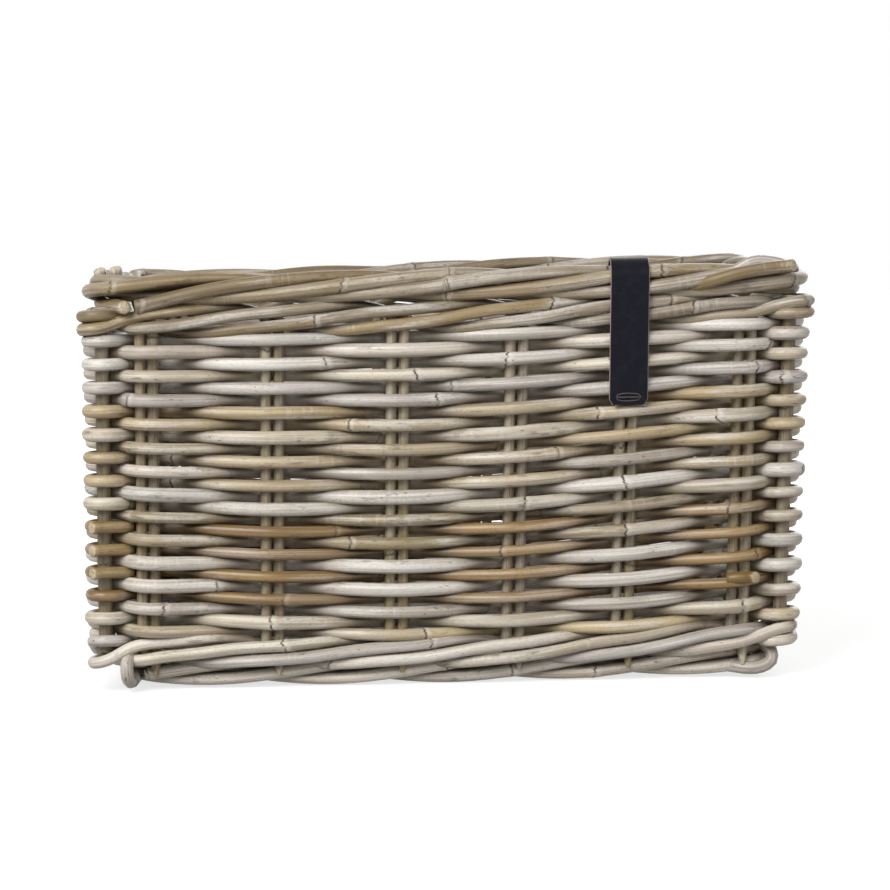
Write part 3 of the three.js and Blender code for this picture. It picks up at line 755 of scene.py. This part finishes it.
class RodMesh:
    """Gathers rods into one mesh, with the attributes that the cane material reads."""

    def __init__(self):
        self.blocks = {"place": [], "fibre": [], "tint": [], "node_gap": [], "crevice": []}
        self.faces = []
        self.count = 0

    def add_through(self, points, radius, tint, seed, closed=False, **options):
        """Adds a rod of one tint along the smooth curve through points."""
        path, travel = smooth_path(np.array(points), closed)
        self.add(path, travel, radius, tint, seed, closed, **options)

    def add(self, path, travel, radius, tint, seed, closed=False, up=(0, 0, 1), settle=level, has_nodes=True,
            greying=1.0, crevice=0.0, inside=0.0, in_wall=False):
        """Adds a rod along a path. Its crevice, inside and in_wall arguments set the painted shade that
        darkens it where other canes shade it.
        """
        rings = len(path)
        shape = (rings, ROD_SIDES)
        moved = hand_made(path, settle)
        radius = np.ones(rings) * radius
        tint = np.ones((rings, 3)) * tint
        node_gap = np.full(shape, NO_NODE)
        if has_nodes:
            gap, slant, shade, grey = cane_nodes(travel, random.Random(seed))
            node_gap = gap[:, None] + (radius * slant)[:, None] * np.cos(ROD_ANGLES + seed)
            tint = (tint + (LEAF_GREY - tint) * greying * grey[:, None]) * shade[:, None]
            amount, length = UNEVEN_THICKNESS
            radius *= 1 + amount * wave(seed + 0.5, travel, length)
            radius += NODE_SWELL * np.exp(-(gap / NODE_SWELL_LENGTH) ** 2)
        before = np.roll(moved, 1, axis=0)
        after = np.roll(moved, -1, axis=0)
        if not closed:
            before[0] = moved[0]
            after[-1] = moved[-1]
        heading, across, rise = ring_axes(after - before, up)
        amount, length = UNEVEN_ROUNDNESS
        squash = (1 + amount * wave(seed + 0.9, travel, length))[:, None, None]
        ring = ROD_COS[:, None] * across[:, None] * squash + ROD_SIN[:, None] * rise[:, None] / squash
        skin = ring * radius[:, None, None]
        places = moved[:, None] + skin
        # painted shade on skin that faces into the basket, and on skin between the canes of a wall
        faces_in = -np.sum(ring * outward_at(path)[:, None], axis=2)
        crevice = np.maximum(crevice, inside * ramp(faces_in, *FACING_IN))
        if in_wall:
            hidden = hidden_in_wall((path[:, None] + skin).reshape(-1, 3))
            crevice = np.maximum(crevice, hidden.reshape(shape))
        shifts = zip((ROD_COS, ROD_SIN), FIBRE_SHIFT)
        around = [radius[:, None] * part + seed * shift for part, shift in shifts]
        fibre = np.stack(np.broadcast_arrays(travel[:, None], *around), axis=2)
        index = self.count + np.arange(rings * ROD_SIDES).reshape(shape)
        self.append(places.reshape(-1, 3), fibre.reshape(-1, 3), np.repeat(tint, ROD_SIDES, axis=0),
                    node_gap.ravel(), crevice.ravel())
        here, following = (index, np.roll(index, -1, axis=0)) if closed else (index[:-1], index[1:])
        quads = np.stack([here, following, np.roll(following, -1, axis=1), np.roll(here, -1, axis=1)], axis=2)
        self.faces.extend(quads.reshape(-1, 4).tolist())
        if not closed:
            for end, sign in ((0, -1), (-1, 1)):
                outward = heading[end] * sign * radius[end]
                self.cap(index[end], places[end], moved[end], outward, fibre[end], tint[end], sign)

    def cap(self, index, edge, centre, outward, fibre, tint, sign):
        """A cut end: a rounded edge and a slightly domed face of pale pith. Outward is one radius long."""
        face = centre + (edge - centre) * CUT_FACE + outward * CUT_EDGE_RISE
        pale = tint * (1 - CUT_PALENESS) + PITH * CUT_PALENESS
        first = self.count
        middle = first + ROD_SIDES
        count = ROD_SIDES + 1
        self.append(np.vstack([face, centre + outward * CUT_MIDDLE_RISE]),
                    np.vstack([fibre, fibre.mean(axis=0)]), np.tile(pale, (count, 1)),
                    np.full(count, NO_NODE), np.zeros(count))
        for k in range(ROD_SIDES):
            turned = (k + 1) % ROD_SIDES
            self.faces.append([index[k], index[turned], first + turned, first + k][::-sign])
            self.faces.append([first + k, first + turned, middle][::-sign])

    def append(self, *values):
        for blocks, block in zip(self.blocks.values(), values):
            blocks.append(block)
        self.count += len(values[0])

    def build(self, slot, node, name=None):
        """Makes the piece that replaces a node. It is named after the node, unless a name is given."""
        name = name or "cane_" + node.replace("_rod", "")
        values = {key: np.concatenate(blocks) for key, blocks in self.blocks.items()}
        mesh = bpy.data.meshes.new(name)
        mesh.from_pydata(values.pop("place").tolist(), [], self.faces)
        mesh.polygons.foreach_set("use_smooth", np.ones(len(mesh.polygons), bool))
        values["tint"] = np.column_stack([values["tint"], np.ones(self.count)])
        for key, attribute in values.items():
            write_attribute(mesh, key, attribute)
        mesh.validate()
        finish_piece(name, mesh, slot, node)


# Materials.
class Nodes:
    """Short names for adding and joining the shader nodes of a material or a world."""

    def __init__(self, owner, shader):
        owner.use_nodes = True
        self.owner = owner
        self.tree = owner.node_tree
        self.shader = self.tree.nodes[shader]

    def fill(self, node, inputs):
        for key, value in inputs.items():
            if isinstance(value, bpy.types.NodeSocket):
                self.tree.links.new(value, node.inputs[key])
            else:
                node.inputs[key].default_value = value

    def add(self, kind, inputs=None, **settings):
        node = self.tree.nodes.new(kind)
        for key, value in settings.items():
            setattr(node, key, value)
        self.fill(node, inputs or {})
        return node

    def attribute(self, name, output):
        return self.add("ShaderNodeAttribute", attribute_name=name).outputs[output]

    def math(self, operation, a, b=0.0, c=0.0):
        return self.add("ShaderNodeMath", {0: a, 1: b, 2: c}, operation=operation).outputs[0]

    def times(self, a, b):
        return self.math("MULTIPLY", a, b)

    def noise(self, vector, along, across, detail, roughness=0.6):
        """Noise with one scale along a cane and another across it."""
        scale = (along, across, across)
        vector = self.add("ShaderNodeVectorMath", {0: vector, 1: scale}, operation="MULTIPLY").outputs[0]
        inputs = {"Vector": vector, "Scale": 1.0, "Detail": detail, "Roughness": roughness}
        return self.add("ShaderNodeTexNoise", inputs).outputs["Fac"]

    def step(self, value, low, high):
        inputs = {"Value": value, "From Min": low, "From Max": high}
        return self.add("ShaderNodeMapRange", inputs, interpolation_type="SMOOTHSTEP").outputs["Result"]

    def mix(self, factor, a, b, blend="MIX"):
        inputs = {"Factor": factor, 6: a, 7: b}
        return self.add("ShaderNodeMix", inputs, data_type="RGBA", blend_type=blend).outputs[2]

    def bump(self, height, strength, distance):
        inputs = {"Height": height, "Strength": strength, "Distance": distance}
        return self.add("ShaderNodeBump", inputs).outputs["Normal"]


def material_nodes(name):
    return Nodes(bpy.data.materials.new(name), "Principled BSDF")


def colour(values):
    return (*[float(value) for value in values], 1.0)


def cane_material(name, wash, streaks, speckle, gloss):
    """Round rattan: fibre streaks along the cane, grey wash in patches, flecks, dark nodes, and painted shade
    where other canes shade it.
    """
    n = material_nodes(name)
    fibre = n.attribute("fibre", "Vector")
    tint = n.attribute("tint", "Color")
    node_gap = n.attribute("node_gap", "Fac")
    crevice = n.attribute("crevice", "Fac")
    fine = n.noise(fibre, 9.0, 950.0, 4.0)
    broad = n.noise(fibre, 7.0, 380.0, 3.0)
    grain = n.noise(fibre, 420.0, 1300.0, 2.0)
    patches = n.noise(fibre, 14.0, 90.0, 4.0)
    stains = n.noise(fibre, 45.0, 190.0, 5.0, 0.7)
    flecks = n.noise(fibre, 240.0, 800.0, 2.0, 0.5)
    fleck_areas = n.noise(fibre, 11.0, 60.0, 2.0)
    bands = n.noise(fibre, 520.0, 40.0, 1.0)
    band_areas = n.noise(fibre, 17.0, 30.0, 1.0)
    dark, deep, shade = [
        n.mix(1.0, tint, colour(share), "MULTIPLY") for share in (DARK_STREAK, DEEP_STAIN, PAINTED_SHADE)
    ]
    pale = n.mix(wash, tint, colour(WASH))
    in_crevice = n.times(crevice, 0.1)  # stains and flecks gather there
    uneven = n.times(n.math("SUBTRACT", broad, 0.5), 0.007)
    from_node = n.math("ADD", node_gap, uneven)
    ring = n.step(n.math("ABSOLUTE", from_node), 0.0011, 0.0003)
    scar = n.step(n.math("ABSOLUTE", n.math("SUBTRACT", from_node, 0.0022)), 0.0022, 0.0006)
    band = n.times(n.step(bands, 0.55, 0.66), n.step(band_areas, 0.55, 0.66))
    fleck = n.times(n.step(flecks, 0.37, 0.29), n.step(n.math("ADD", fleck_areas, in_crevice), 0.5, 0.6))
    layers = [  # where, how strong, which colour
        (n.step(broad, 0.54, 0.36), streaks, dark),
        (n.step(fine, 0.52, 0.3), streaks, dark),
        (n.step(grain, 0.5, 0.32), 0.4, dark),
        (band, 0.3, pale),
        (n.step(n.math("ADD", stains, in_crevice), 0.58, 0.7), speckle, deep),
        (fleck, speckle, colour(FLECK)),
        (scar, 0.45, pale),
        (n.times(ring, n.step(broad, 0.35, 0.55)), 0.95, colour(NODE_RING)),
        # painted shade, where the crevice attribute says other canes shade the cane
        (crevice, 0.9, shade),
    ]
    body = n.mix(n.step(patches, 0.44, 0.62), tint, pale)
    for where, strength, layer in layers:
        body = n.mix(n.times(where, strength), body, layer)
    height = n.math("ADD", n.times(fine, 0.6), n.times(ring, -0.8))
    n.fill(n.shader, {
        "Base Color": body,
        "Roughness": n.math("MULTIPLY_ADD", fine, 0.22, gloss),
        "Normal": n.bump(height, 0.35, 0.0004),
    })
    return n.owner


def leather_material():
    """Black leather with a fine grain, and pinkish raw edges."""
    n = material_nodes("label_leather")
    place = n.add("ShaderNodeTexCoord").outputs["Object"]
    grain = n.noise(place, 1500.0, 1500.0, 3.0)
    scuffs = n.noise(place, 160.0, 160.0, 4.0)
    face = n.mix(n.step(scuffs, 0.45, 0.7), colour(LEATHER), colour(SCUFFED_LEATHER))
    edge = n.step(n.attribute("edge", "Fac"), 0.25, 0.6)
    n.fill(n.shader, {
        "Base Color": n.mix(edge, face, colour(LEATHER_EDGE)),
        "Roughness": 0.52,
        "Specular IOR Level": 0.1,
        "Normal": n.bump(grain, 0.3, 0.0003),
    })
    return n.owner


def thread_material():
    """Waxed thread: its twist shows as slanting bands."""
    n = material_nodes("waxed_thread")
    fibre = n.attribute("fibre", "Vector")
    bands = n.add("ShaderNodeTexWave", {"Vector": fibre, "Scale": 260.0, "Distortion": 1.5}).outputs["Fac"]
    tint = n.attribute("tint", "Color")
    dark = n.mix(0.5, tint, colour((0, 0, 0)))
    n.fill(n.shader, {"Base Color": n.mix(bands, tint, dark), "Roughness": 0.6})
    return n.owner


MATERIALS = {
    "rattan_weaver": cane_material("weaver_cane", wash=0.6, streaks=0.7, speckle=0.7, gloss=0.36),
    "rattan_brown": cane_material("brown_cane", wash=0.25, streaks=0.8, speckle=0.6, gloss=0.28),
    "rattan_stake": cane_material("stake_cane", wash=0.25, streaks=0.8, speckle=0.7, gloss=0.4),
    "rattan_border": cane_material("border_cane", wash=0.42, streaks=0.8, speckle=0.65, gloss=0.37),
    "label_leather": leather_material(),
    "label_thread": thread_material(),
}


# Pieces.
def finish_piece(name, mesh, slot, *nodes):
    mesh.materials.append(MATERIALS[slot])
    piece = linked(name, mesh)
    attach(piece, ROOT)
    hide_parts(*nodes)


def rows_of(path, first_row):
    """The row that each point of a weaver lies in. A weaver fills every second row."""
    above = (path[:, 2] - row_z(first_row)) / ROW_PITCH
    return first_row + 2 * np.rint(above / 2).astype(int)


def blended(values):
    """Values averaged over a few neighbours, so that a cane changes slowly where it steps up a row."""
    width = 2 * ROW_EASE + 1
    first = np.repeat(values[:1], ROW_EASE, axis=0)
    last = np.repeat(values[-1:], ROW_EASE, axis=0)
    sums = np.cumsum(np.concatenate([np.zeros_like(values[:1]), first, values, last]), axis=0)
    return (sums[width:] - sums[:-width]) / width


def sway(path, seed):
    """Small ups and downs of a hand-made row, much alike in neighbouring rows."""
    across = path[:, 0] + path[:, 1]
    places = [Vector((x * SWAY_ACROSS, z * SWAY_UP, SWAY_SEED)) for x, z in zip(across, path[:, 2])]
    together = np.array([noise.noise(place) for place in places])
    return SWAY_TOGETHER * together + SWAY_ALONE * wave(seed + 5.3, across, SWAY_LENGTH)


def back_swell(path):
    return 1 + BACK_SWELL * soft_ramp(path[:, 1], *BACK_SWELL_Y)


def add_brown_ends(rods):
    rods.add_through(BROWN_END, BROWN_END_RADIUS, BROWN_END_TINT, BROWN_END_SEED, has_nodes=False)
    for row in BROWN_CUT_ROWS:
        z = row_z(row)
        points = [at(STOPS[0].centre(z) + offset, z) for offset in BROWN_CUT_END]
        rods.add_through(
            points, BROWN_CUT_RADIUS, BROWN_CUT_TINT, BROWN_CUT_SEED + row, has_nodes=False,
            settle=settled_rows, in_wall=True,
        )


def make_weavers(name, rounds_list, first_row, seam, brown_rod):
    row = first_row
    for i, rounds in enumerate(rounds_list):
        seed = first_row * WEAVER_SEED_STEP + i
        path, travel = smooth_path(weaver_points(row, rounds, seam), closed=False)
        rows = rows_of(path, row) - 1
        tint = mottled(blended(np.array(ROW_TINTS)[rows]), seed + 3.1, travel, *WEAVER_MOTTLE)
        radius = blended(np.array(ROW_CANES)[rows]) / 2 * back_swell(path)
        path[:, 2] += sway(path, seed)
        brown = i == brown_rod
        rods = RodMesh()
        rods.add(
            path, travel, radius, tint, seed, settle=settled_rows, inside=INSIDE_SHADE, in_wall=True,
            greying=BROWN_GREYING if brown else 1.0,
        )
        if brown:
            add_brown_ends(rods)
        slot = "rattan_brown" if brown else "rattan_weaver"
        rods.build(slot, f"{name}_{i + 1}")
        row += 2 * rounds


def eased(values):
    """Values round a ring, averaged over a few neighbours."""
    return np.mean([np.roll(values, shift) for shift in range(-WALE_EASE, WALE_EASE + 1)], axis=0)


def make_wale(name, z, slack, tints, first_seed, settle):
    for rod in range(WALE_RODS):
        seed = first_seed + rod
        path, travel = smooth_path(wale_points(rod, z, slack), closed=True)
        path[:, 2] = eased(path[:, 2]) + sway(path, seed)
        rods = RodMesh()
        rods.add(
            path, travel, WALE_CANE / 2 * back_swell(path), mottled(tints[rod], seed, travel, *WALE_MOTTLE),
            seed, closed=True, settle=settle, inside=INSIDE_SHADE, in_wall=True,
        )
        rods.build("rattan_weaver", f"{name}_rod_{rod + 1}")


def dark_grooves(path, core, radius, reach):
    """How much painted shade darkens the sides of a rope's rods: 1 deep between the rods, 0 outside."""
    inward = core - path
    distance = np.linalg.norm(inward, axis=1)[:, None]
    _, across, rise = ring_axes(np.gradient(path, axis=0), (0, 0, 1))
    beside = np.sum(inward * across, axis=1)[:, None] * ROD_COS
    above = np.sum(inward * rise, axis=1)[:, None] * ROD_SIN
    to_side = np.sqrt(np.maximum(distance**2 + radius**2 - 2 * radius * (beside + above), 0))
    return soft_ramp(1 - to_side / reach, *GROOVE_DEPTHS)


def rope_rod(points, closed, z, outset, radius, groove_reach, tint, seed, settle, wander=0.0):
    """One rod of a rope, with painted shade between its neighbours. It strays from an even rope as far as
    wander says.
    """
    path, travel = smooth_path(points, closed)
    strays = [wave(seed + shift, travel, WANDER_LENGTH) for shift in (0.2, 0.4, 0.6)]
    path += wander * np.stack(strays, axis=1)
    groove = dark_grooves(path, rope_core(path, z, outset), radius, groove_reach)
    tint = mottled(tint, seed, travel, *ROPE_MOTTLE)
    rods = RodMesh()
    rods.add(path, travel, radius, tint, seed, closed, settle=settle, crevice=groove)
    return rods


def cut_rim_points(circle, outset):
    length = ring_length(half_width(BORDER_Z) + outset, half_depth(BORDER_Z) + outset)
    start = 1 + RIM_CUT_X / length
    points = rope_points(
        RIM_CUT_ROD, BORDER_RODS, BORDER_TURNS, circle, circle, BORDER_Z, outset, start, RIM_CUT_SPAN
    )
    near = np.exp(-np.linalg.norm(points - points[0], axis=1) / RIM_CUT_REACH)
    points[:, 2] -= RIM_CUT_DROP * near
    points[:, 1] -= 0.5 * RIM_CUT_DROP * near
    ends = [points[-1] + [right, back, -down] for right, back, down in RIM_END]
    return np.vstack([points, ends])


def make_border():
    half_height = BORDER_TOP_Z - BORDER_Z
    circle = half_height - BORDER_DIAMETER / 2
    outset = POST_DIAMETER / 2 + CLEARANCE + WALE_DIAMETER - half_height + BORDER_SLACK
    for rod in range(BORDER_RODS):
        closed = rod != RIM_CUT_ROD
        if closed:
            points = rope_points(rod, BORDER_RODS, BORDER_TURNS, circle, circle, BORDER_Z, outset)
        else:
            points = cut_rim_points(circle, outset)
        rods = rope_rod(
            points, closed, BORDER_Z, outset, BORDER_CANE / 2, half_height * RIM_GROOVE_REACH,
            BORDER_TINTS[rod], BORDER_SEED + rod, dipped_rim, BORDER_WANDER,
        )
        if not closed:
            for k, (stub, stub_tint) in enumerate(zip(RIM_STUBS, RIM_STUB_TINTS)):
                rods.add_through(
                    stub, RIM_STUB_RADIUS, stub_tint, RIM_STUB_SEED + k, up=(0, 1, 0.3), has_nodes=False
                )
        rods.build("rattan_border", f"rim_border_rod_{rod + 1}")


def make_foot():
    length = ring_length(half_width(FOOT_Z) - FOOT_INSET, half_depth(FOOT_Z) - FOOT_INSET)
    for rod in range(FOOT_RODS):
        closed = rod != FOOT_CUT_ROD
        start, span = (0.0, 1.0) if closed else (1 + FOOT_CUT_X / length, FOOT_CUT_SPAN)
        points = rope_points(
            rod, FOOT_RODS, FOOT_VISIBLE_TURNS, FOOT_HALF_BREADTH, FOOT_HALF_RISE, FOOT_Z, -FOOT_INSET,
            start, span,
        )
        rods = rope_rod(
            points, closed, FOOT_Z, -FOOT_INSET, FOOT_CANE / 2, FOOT_HALF_RISE + FOOT_CANE / 2,
            FOOT_GREY, FOOT_SEED + rod, raised_corners,
        )
        if not closed:
            for k, loop in enumerate(FOOT_LOOPS):
                rods.add_through(
                    loop, FOOT_LOOP_RADIUS, FOOT_LOOP_TINT, FOOT_LOOP_SEED + k, up=(0.2, 1, 0),
                    settle=raised_corners,
                )
        rods.build("rattan_border", f"foot_border_rod_{rod + 1}")


def stake_path(stop):
    """Up one cane of a pair, round the fold and down the other."""
    fold_z = STAKE_TOP_Z - STAKE_DIAMETER / 2 - PAIR_HALF_SPACING

    def cane_at(sideways, z):
        return at(stop.centre(z) + stop.wall.along * sideways, z)

    legs = np.arange(fold_z, STAKE_FOOT_Z, -STAKE_STEP)[::-1]
    angles = [math.radians(degrees) for degrees in (150, 120, 90, 60, 30)]
    up_leg = [cane_at(-PAIR_HALF_SPACING, z) for z in legs]
    fold = [
        cane_at(PAIR_HALF_SPACING * math.cos(angle), fold_z + PAIR_HALF_SPACING * math.sin(angle))
        for angle in angles
    ]
    down_leg = [cane_at(PAIR_HALF_SPACING, z) for z in legs[::-1]]
    if stop.wall in (FRONT, BACK):
        tip_z = legs[0] - STAKE_TIP_DROP
        tip = stop.centre(tip_z) + stop.wall.along * PAIR_HALF_SPACING + stop.wall.outward * STAKE_TIP_LEAN
        down_leg.append(at(tip, tip_z))
    return np.array(up_leg + fold + down_leg)


def pointed_ends(travel):
    """Stakes are cut to a blunt point at both ends."""
    return TIP_WIDTH + (1 - TIP_WIDTH) * np.clip(from_ends(travel) / TIP_LENGTH, 0, 1) ** TIP_CURVE


def make_stakes():
    for index, stop in enumerate(STOPS):
        seed = STAKE_SEED + index
        if stop.corner:
            facing = stop.corner
            points = np.array([at(stop.centre(z), z) for z in np.linspace(POST_FOOT_Z, STAKE_TOP_Z, 5)])
            path, travel = smooth_path(points, closed=False)
            radius = POST_DIAMETER / 2
            crevice = POST_SHADE
        else:
            facing = complex(stop.wall.outward)
            path, travel = smooth_path(stake_path(stop), closed=False)
            radius = STAKE_DIAMETER / 2 * pointed_ends(travel)
            crevice = STAKE_SHADE
        # painted shade where other canes shade the posts and stakes
        rods = RodMesh()
        rods.add(
            path, travel, radius, mottled(STAKE_TAN, seed, travel, *STAKE_MOTTLE), seed,
            up=(facing.real, facing.imag, 0), crevice=crevice, inside=INSIDE_SHADE,
        )
        rods.build("rattan_stake", stop.name)


def base_weaver_points(first_pass, passes, end_x, end_y, places):
    last_pass = BASE_WEAVERS * passes - 1
    height = (STICK_DIAMETER + BASE_WEAVER_DIAMETER) / 2 + CLEARANCE
    points = []
    for number in range(first_pass, first_pass + passes):
        y = WALL_CENTRE.imag - end_y + 2 * end_y * number / last_pass
        line = [(WALL_CENTRE.real - end_x, y, STICK_Z)]
        for i, x in enumerate(places):
            line.append((x, y, STICK_Z + (height if (i + number) % 2 == 0 else -height)))
        line.append((WALL_CENTRE.real + end_x, y, STICK_Z))
        points.extend(line if number % 2 == 0 else line[::-1])
    return np.array(points)


def make_base():
    """Sticks from front to back, and two rods woven to and fro across them."""
    places = []
    for i in range(STICKS):
        low, high = node_box(f"base_stick_{i + 1}")
        x = (low.x + high.x) / 2
        places.append(x)
        points = [(x, y, STICK_Z) for y in np.linspace(low.y, high.y, 8)]
        rods = RodMesh()
        rods.add_through(points, STICK_DIAMETER / 2, STAKE_TAN, STICK_SEED + i, crevice=STICK_SHADE)
        rods.build("rattan_stake", f"base_stick_{i + 1}")
    inset = STAKE_DIAMETER + WALE_DIAMETER + BASE_WALL_GAP + BASE_WEAVER_DIAMETER / 2
    end_x = half_width(STICK_Z) - inset
    end_y = half_depth(STICK_Z) - inset
    passes = (math.floor(2 * end_y / (BASE_WEAVER_DIAMETER + ROW_GAP)) + 1) // BASE_WEAVERS
    for rod in range(BASE_WEAVERS):
        seed = BASE_WEAVER_SEED + rod
        points = base_weaver_points(rod * passes, passes, end_x, end_y, places)
        path, travel = smooth_path(points, closed=False)
        tint = mottled(CREAM * BASE_SHADE, seed, travel, *BASE_MOTTLE)
        rods = RodMesh()
        rods.add(path, travel, BASE_WEAVER_DIAMETER / 2, tint, seed, crevice=BASE_WEAVER_SHADE)
        rods.build("rattan_weaver", f"base_weaver_{rod + 1}")


# The label: leather folded over the rim, tied through the weave below it with a thread.
def beside_front(out, z):
    return (WALL_CENTRE.imag - half_depth(z) - out, z)


def label_line():
    """The middle of the leather, as (y, z), from the end of the outer leaf over the rim to the inner one."""
    leaf = np.linspace(label_low.z, BORDER_Z, LABEL_STATIONS)[:-1]
    outer_leaf = [beside_front(LABEL_OUTER, z) for z in leaf]
    inner_leaf = [beside_front(-LABEL_INNER, z) for z in leaf[::-1]]
    fold = []
    for i in range(LABEL_STATIONS + 1):
        angle = math.pi * i / LABEL_STATIONS
        reach = LABEL_OUTER if i < LABEL_STATIONS / 2 else LABEL_INNER
        fold.append(beside_front(reach * math.cos(angle), BORDER_Z + LABEL_RISE * math.sin(angle)))
    return np.array(outer_leaf + fold + inner_leaf)


def make_label():
    line = label_line()
    heading = unit(np.gradient(line, axis=0))
    normal = np.stack([-heading[:, 1], heading[:, 0]], axis=1)
    half_widths = LABEL_WIDTH / 2 - np.clip(LABEL_CLIP - from_ends(travel_along(line)), 0, LABEL_CLIP)
    half_thickness = LABEL_THICKNESS / 2
    vertices = []
    edge = []
    for (y, z), (normal_y, normal_z), half in zip(line, normal, half_widths):
        for side, face in SQUARE:
            inner = (side * (half - LABEL_EDGE), face * half_thickness)
            outer = (side * half, face * (half_thickness - LABEL_EDGE))
            for u, v in ((outer, inner) if side == face else (inner, outer)):
                vertices.append((LABEL_X + u, y + normal_y * v, z + normal_z * v))
            edge.extend((1, 0) if side == face else (0, 1))
    sides = 2 * len(SQUARE)
    last = (len(line) - 1) * sides
    faces = []
    for here in range(0, last, sides):
        for k in range(sides):
            turned = (k + 1) % sides
            faces.append((here + k, here + turned, here + sides + turned, here + sides + k))
    faces.append(tuple(range(sides))[::-1])
    faces.append(tuple(range(last, last + sides)))
    mesh = bpy.data.meshes.new("leather_label")
    mesh.from_pydata(hand_made(np.array(vertices), raised_label).tolist(), [], faces)
    write_attribute(mesh, "edge", np.array(edge))
    finish_piece("leather_label", mesh, "label_leather", "label_strap")


def make_thread():
    """The thread: a bar across each leaf, and a stitched outline round the bar on the outer leaf."""
    low, high = node_box("label_thread")
    half = (high.x - low.x - THREAD_DIAMETER) / 2
    off_leaf = (LABEL_THICKNESS + THREAD_DIAMETER) / 2
    front = beside_front(LABEL_OUTER + off_leaf, row_z(LABEL_STITCH_ROW))
    back = beside_front(-LABEL_INNER - off_leaf, row_z(LABEL_STITCH_ROW + 1))
    left, right = LABEL_X - half, LABEL_X + half
    corners = np.array([(left, *front), (right, *front), (right, *back), (left, *back)])
    sides = np.roll(corners, -1, axis=0) - corners
    loop = [corner + side * place for corner, side in zip(corners, sides) for place in THREAD_PLACES]
    outline = []
    for i in range(SLOT_POINTS):
        angle = 2 * math.pi * i / SLOT_POINTS
        z = row_z(LABEL_STITCH_ROW) + SLOT_HALF_HEIGHT * math.sin(angle)
        reach = half - SLOT_HALF_HEIGHT - THREAD_DIAMETER / 2
        x = LABEL_X + SLOT_HALF_HEIGHT * math.cos(angle) + math.copysign(reach, math.cos(angle) + 1e-9)
        outline.append((x, *beside_front(LABEL_OUTER + LABEL_THICKNESS / 2, z)))
    rods = RodMesh()
    for points, radius, tint, seed, up in (
        (loop, THREAD_DIAMETER / 2, THREAD_TINT, THREAD_SEED, (0, 0.3, 1)),
        (outline, SLOT_RADIUS, SLOT_TINT, SLOT_SEED, (0, 1, 0)),
    ):
        rods.add_through(points, radius, tint, seed, closed=True, up=up, has_nodes=False, settle=raised_label)
    rods.build("label_thread", "label_thread", "waxed_thread")


# The stage: a pale floor, soft light and the photograph's camera.
def sees_background(n):
    """1 for the rays to which the floor and the world are white, 0 for those that light the object."""
    rays = n.add("ShaderNodeLightPath").outputs
    seen = rays[WHITE_FOR[0]]
    for kind in WHITE_FOR[1:]:
        seen = n.math("MAXIMUM", seen, rays[kind])
    return seen


def make_floor():
    mesh = bpy.data.meshes.new("floor")
    mesh.from_pydata([(FLOOR_SIZE * x, FLOOR_SIZE * y, 0) for x, y in SQUARE], [], [(0, 1, 2, 3)])
    floor = linked("floor", mesh)
    n = material_nodes("pale_floor")
    place = n.add("ShaderNodeTexCoord").outputs["Object"]
    distance = n.add("ShaderNodeVectorMath", {0: place}, operation="LENGTH").outputs["Value"]
    glow = n.math("MULTIPLY_ADD", n.step(distance, *FLOOR_GLOW_RANGE), 1 - FLOOR_GLOW, FLOOR_GLOW)
    n.fill(n.shader, {
        "Base Color": FLOOR_GREY,
        "Roughness": 0.9,
        "Emission Color": WHITE,
        "Emission Strength": n.times(sees_background(n), glow),
    })
    mesh.materials.append(n.owner)


def make_world():
    world = bpy.data.worlds.new("studio")
    bpy.context.scene.world = world
    n = Nodes(world, "Background")
    inputs = {"Value": sees_background(n), "To Min": WORLD_STRENGTH, "To Max": 1.0}
    brightness = n.add("ShaderNodeMapRange", inputs).outputs["Result"]
    n.fill(n.shader, {"Color": WHITE, "Strength": brightness})


def aim(location, target, roll=0.0):
    heading = Vector(target) - Vector(location)
    turn = heading.to_track_quat("-Z", "Y").to_matrix().to_4x4()
    return Matrix.Translation(Vector(location)) @ turn @ Matrix.Rotation(roll, 4, "Z")


def make_lights():
    for name, location, size, energy in LIGHTS:
        lamp = bpy.data.lights.new(name, "AREA")
        lamp.shape = "RECTANGLE"
        lamp.size, lamp.size_y = size
        lamp.energy = energy
        linked(name, lamp).matrix_world = aim(location, LIGHT_AIM)


def make_camera():
    data = bpy.data.cameras.new("camera")
    data.lens = CAMERA_LENS
    data.sensor_width = CAMERA_SENSOR
    data.sensor_fit = "HORIZONTAL"
    camera = linked("camera", data)
    beside = -CAMERA_DISTANCE * math.sin(CAMERA_TURN)
    ahead = -CAMERA_DISTANCE * math.cos(CAMERA_TURN)
    camera.matrix_world = aim((beside, ahead, CAMERA_HEIGHT), CAMERA_AIM, CAMERA_ROLL)
    bpy.context.scene.camera = camera


make_stakes()
make_weavers("weaver_short", SHORT_WEAVER_ROUNDS, 1, WEAVER_SEAMS[0], None)
make_weavers("weaver_long", LONG_WEAVER_ROUNDS, 2, WEAVER_SEAMS[1], 1)
make_wale(
    "bottom_wale", BOTTOM_WALE_Z, BOTTOM_WALE_SLACK, FOOT_WALE_TINTS, BOTTOM_WALE_SEED, settled_foot_wale
)
make_wale("top_wale", TOP_WALE_Z, TOP_WALE_SLACK, RIM_WALE_TINTS, TOP_WALE_SEED, settled_rows)
make_border()
make_foot()
make_base()
make_label()
make_thread()
make_floor()
make_world()
make_lights()
make_camera()

bpy.context.scene.view_settings.view_transform = "Standard"
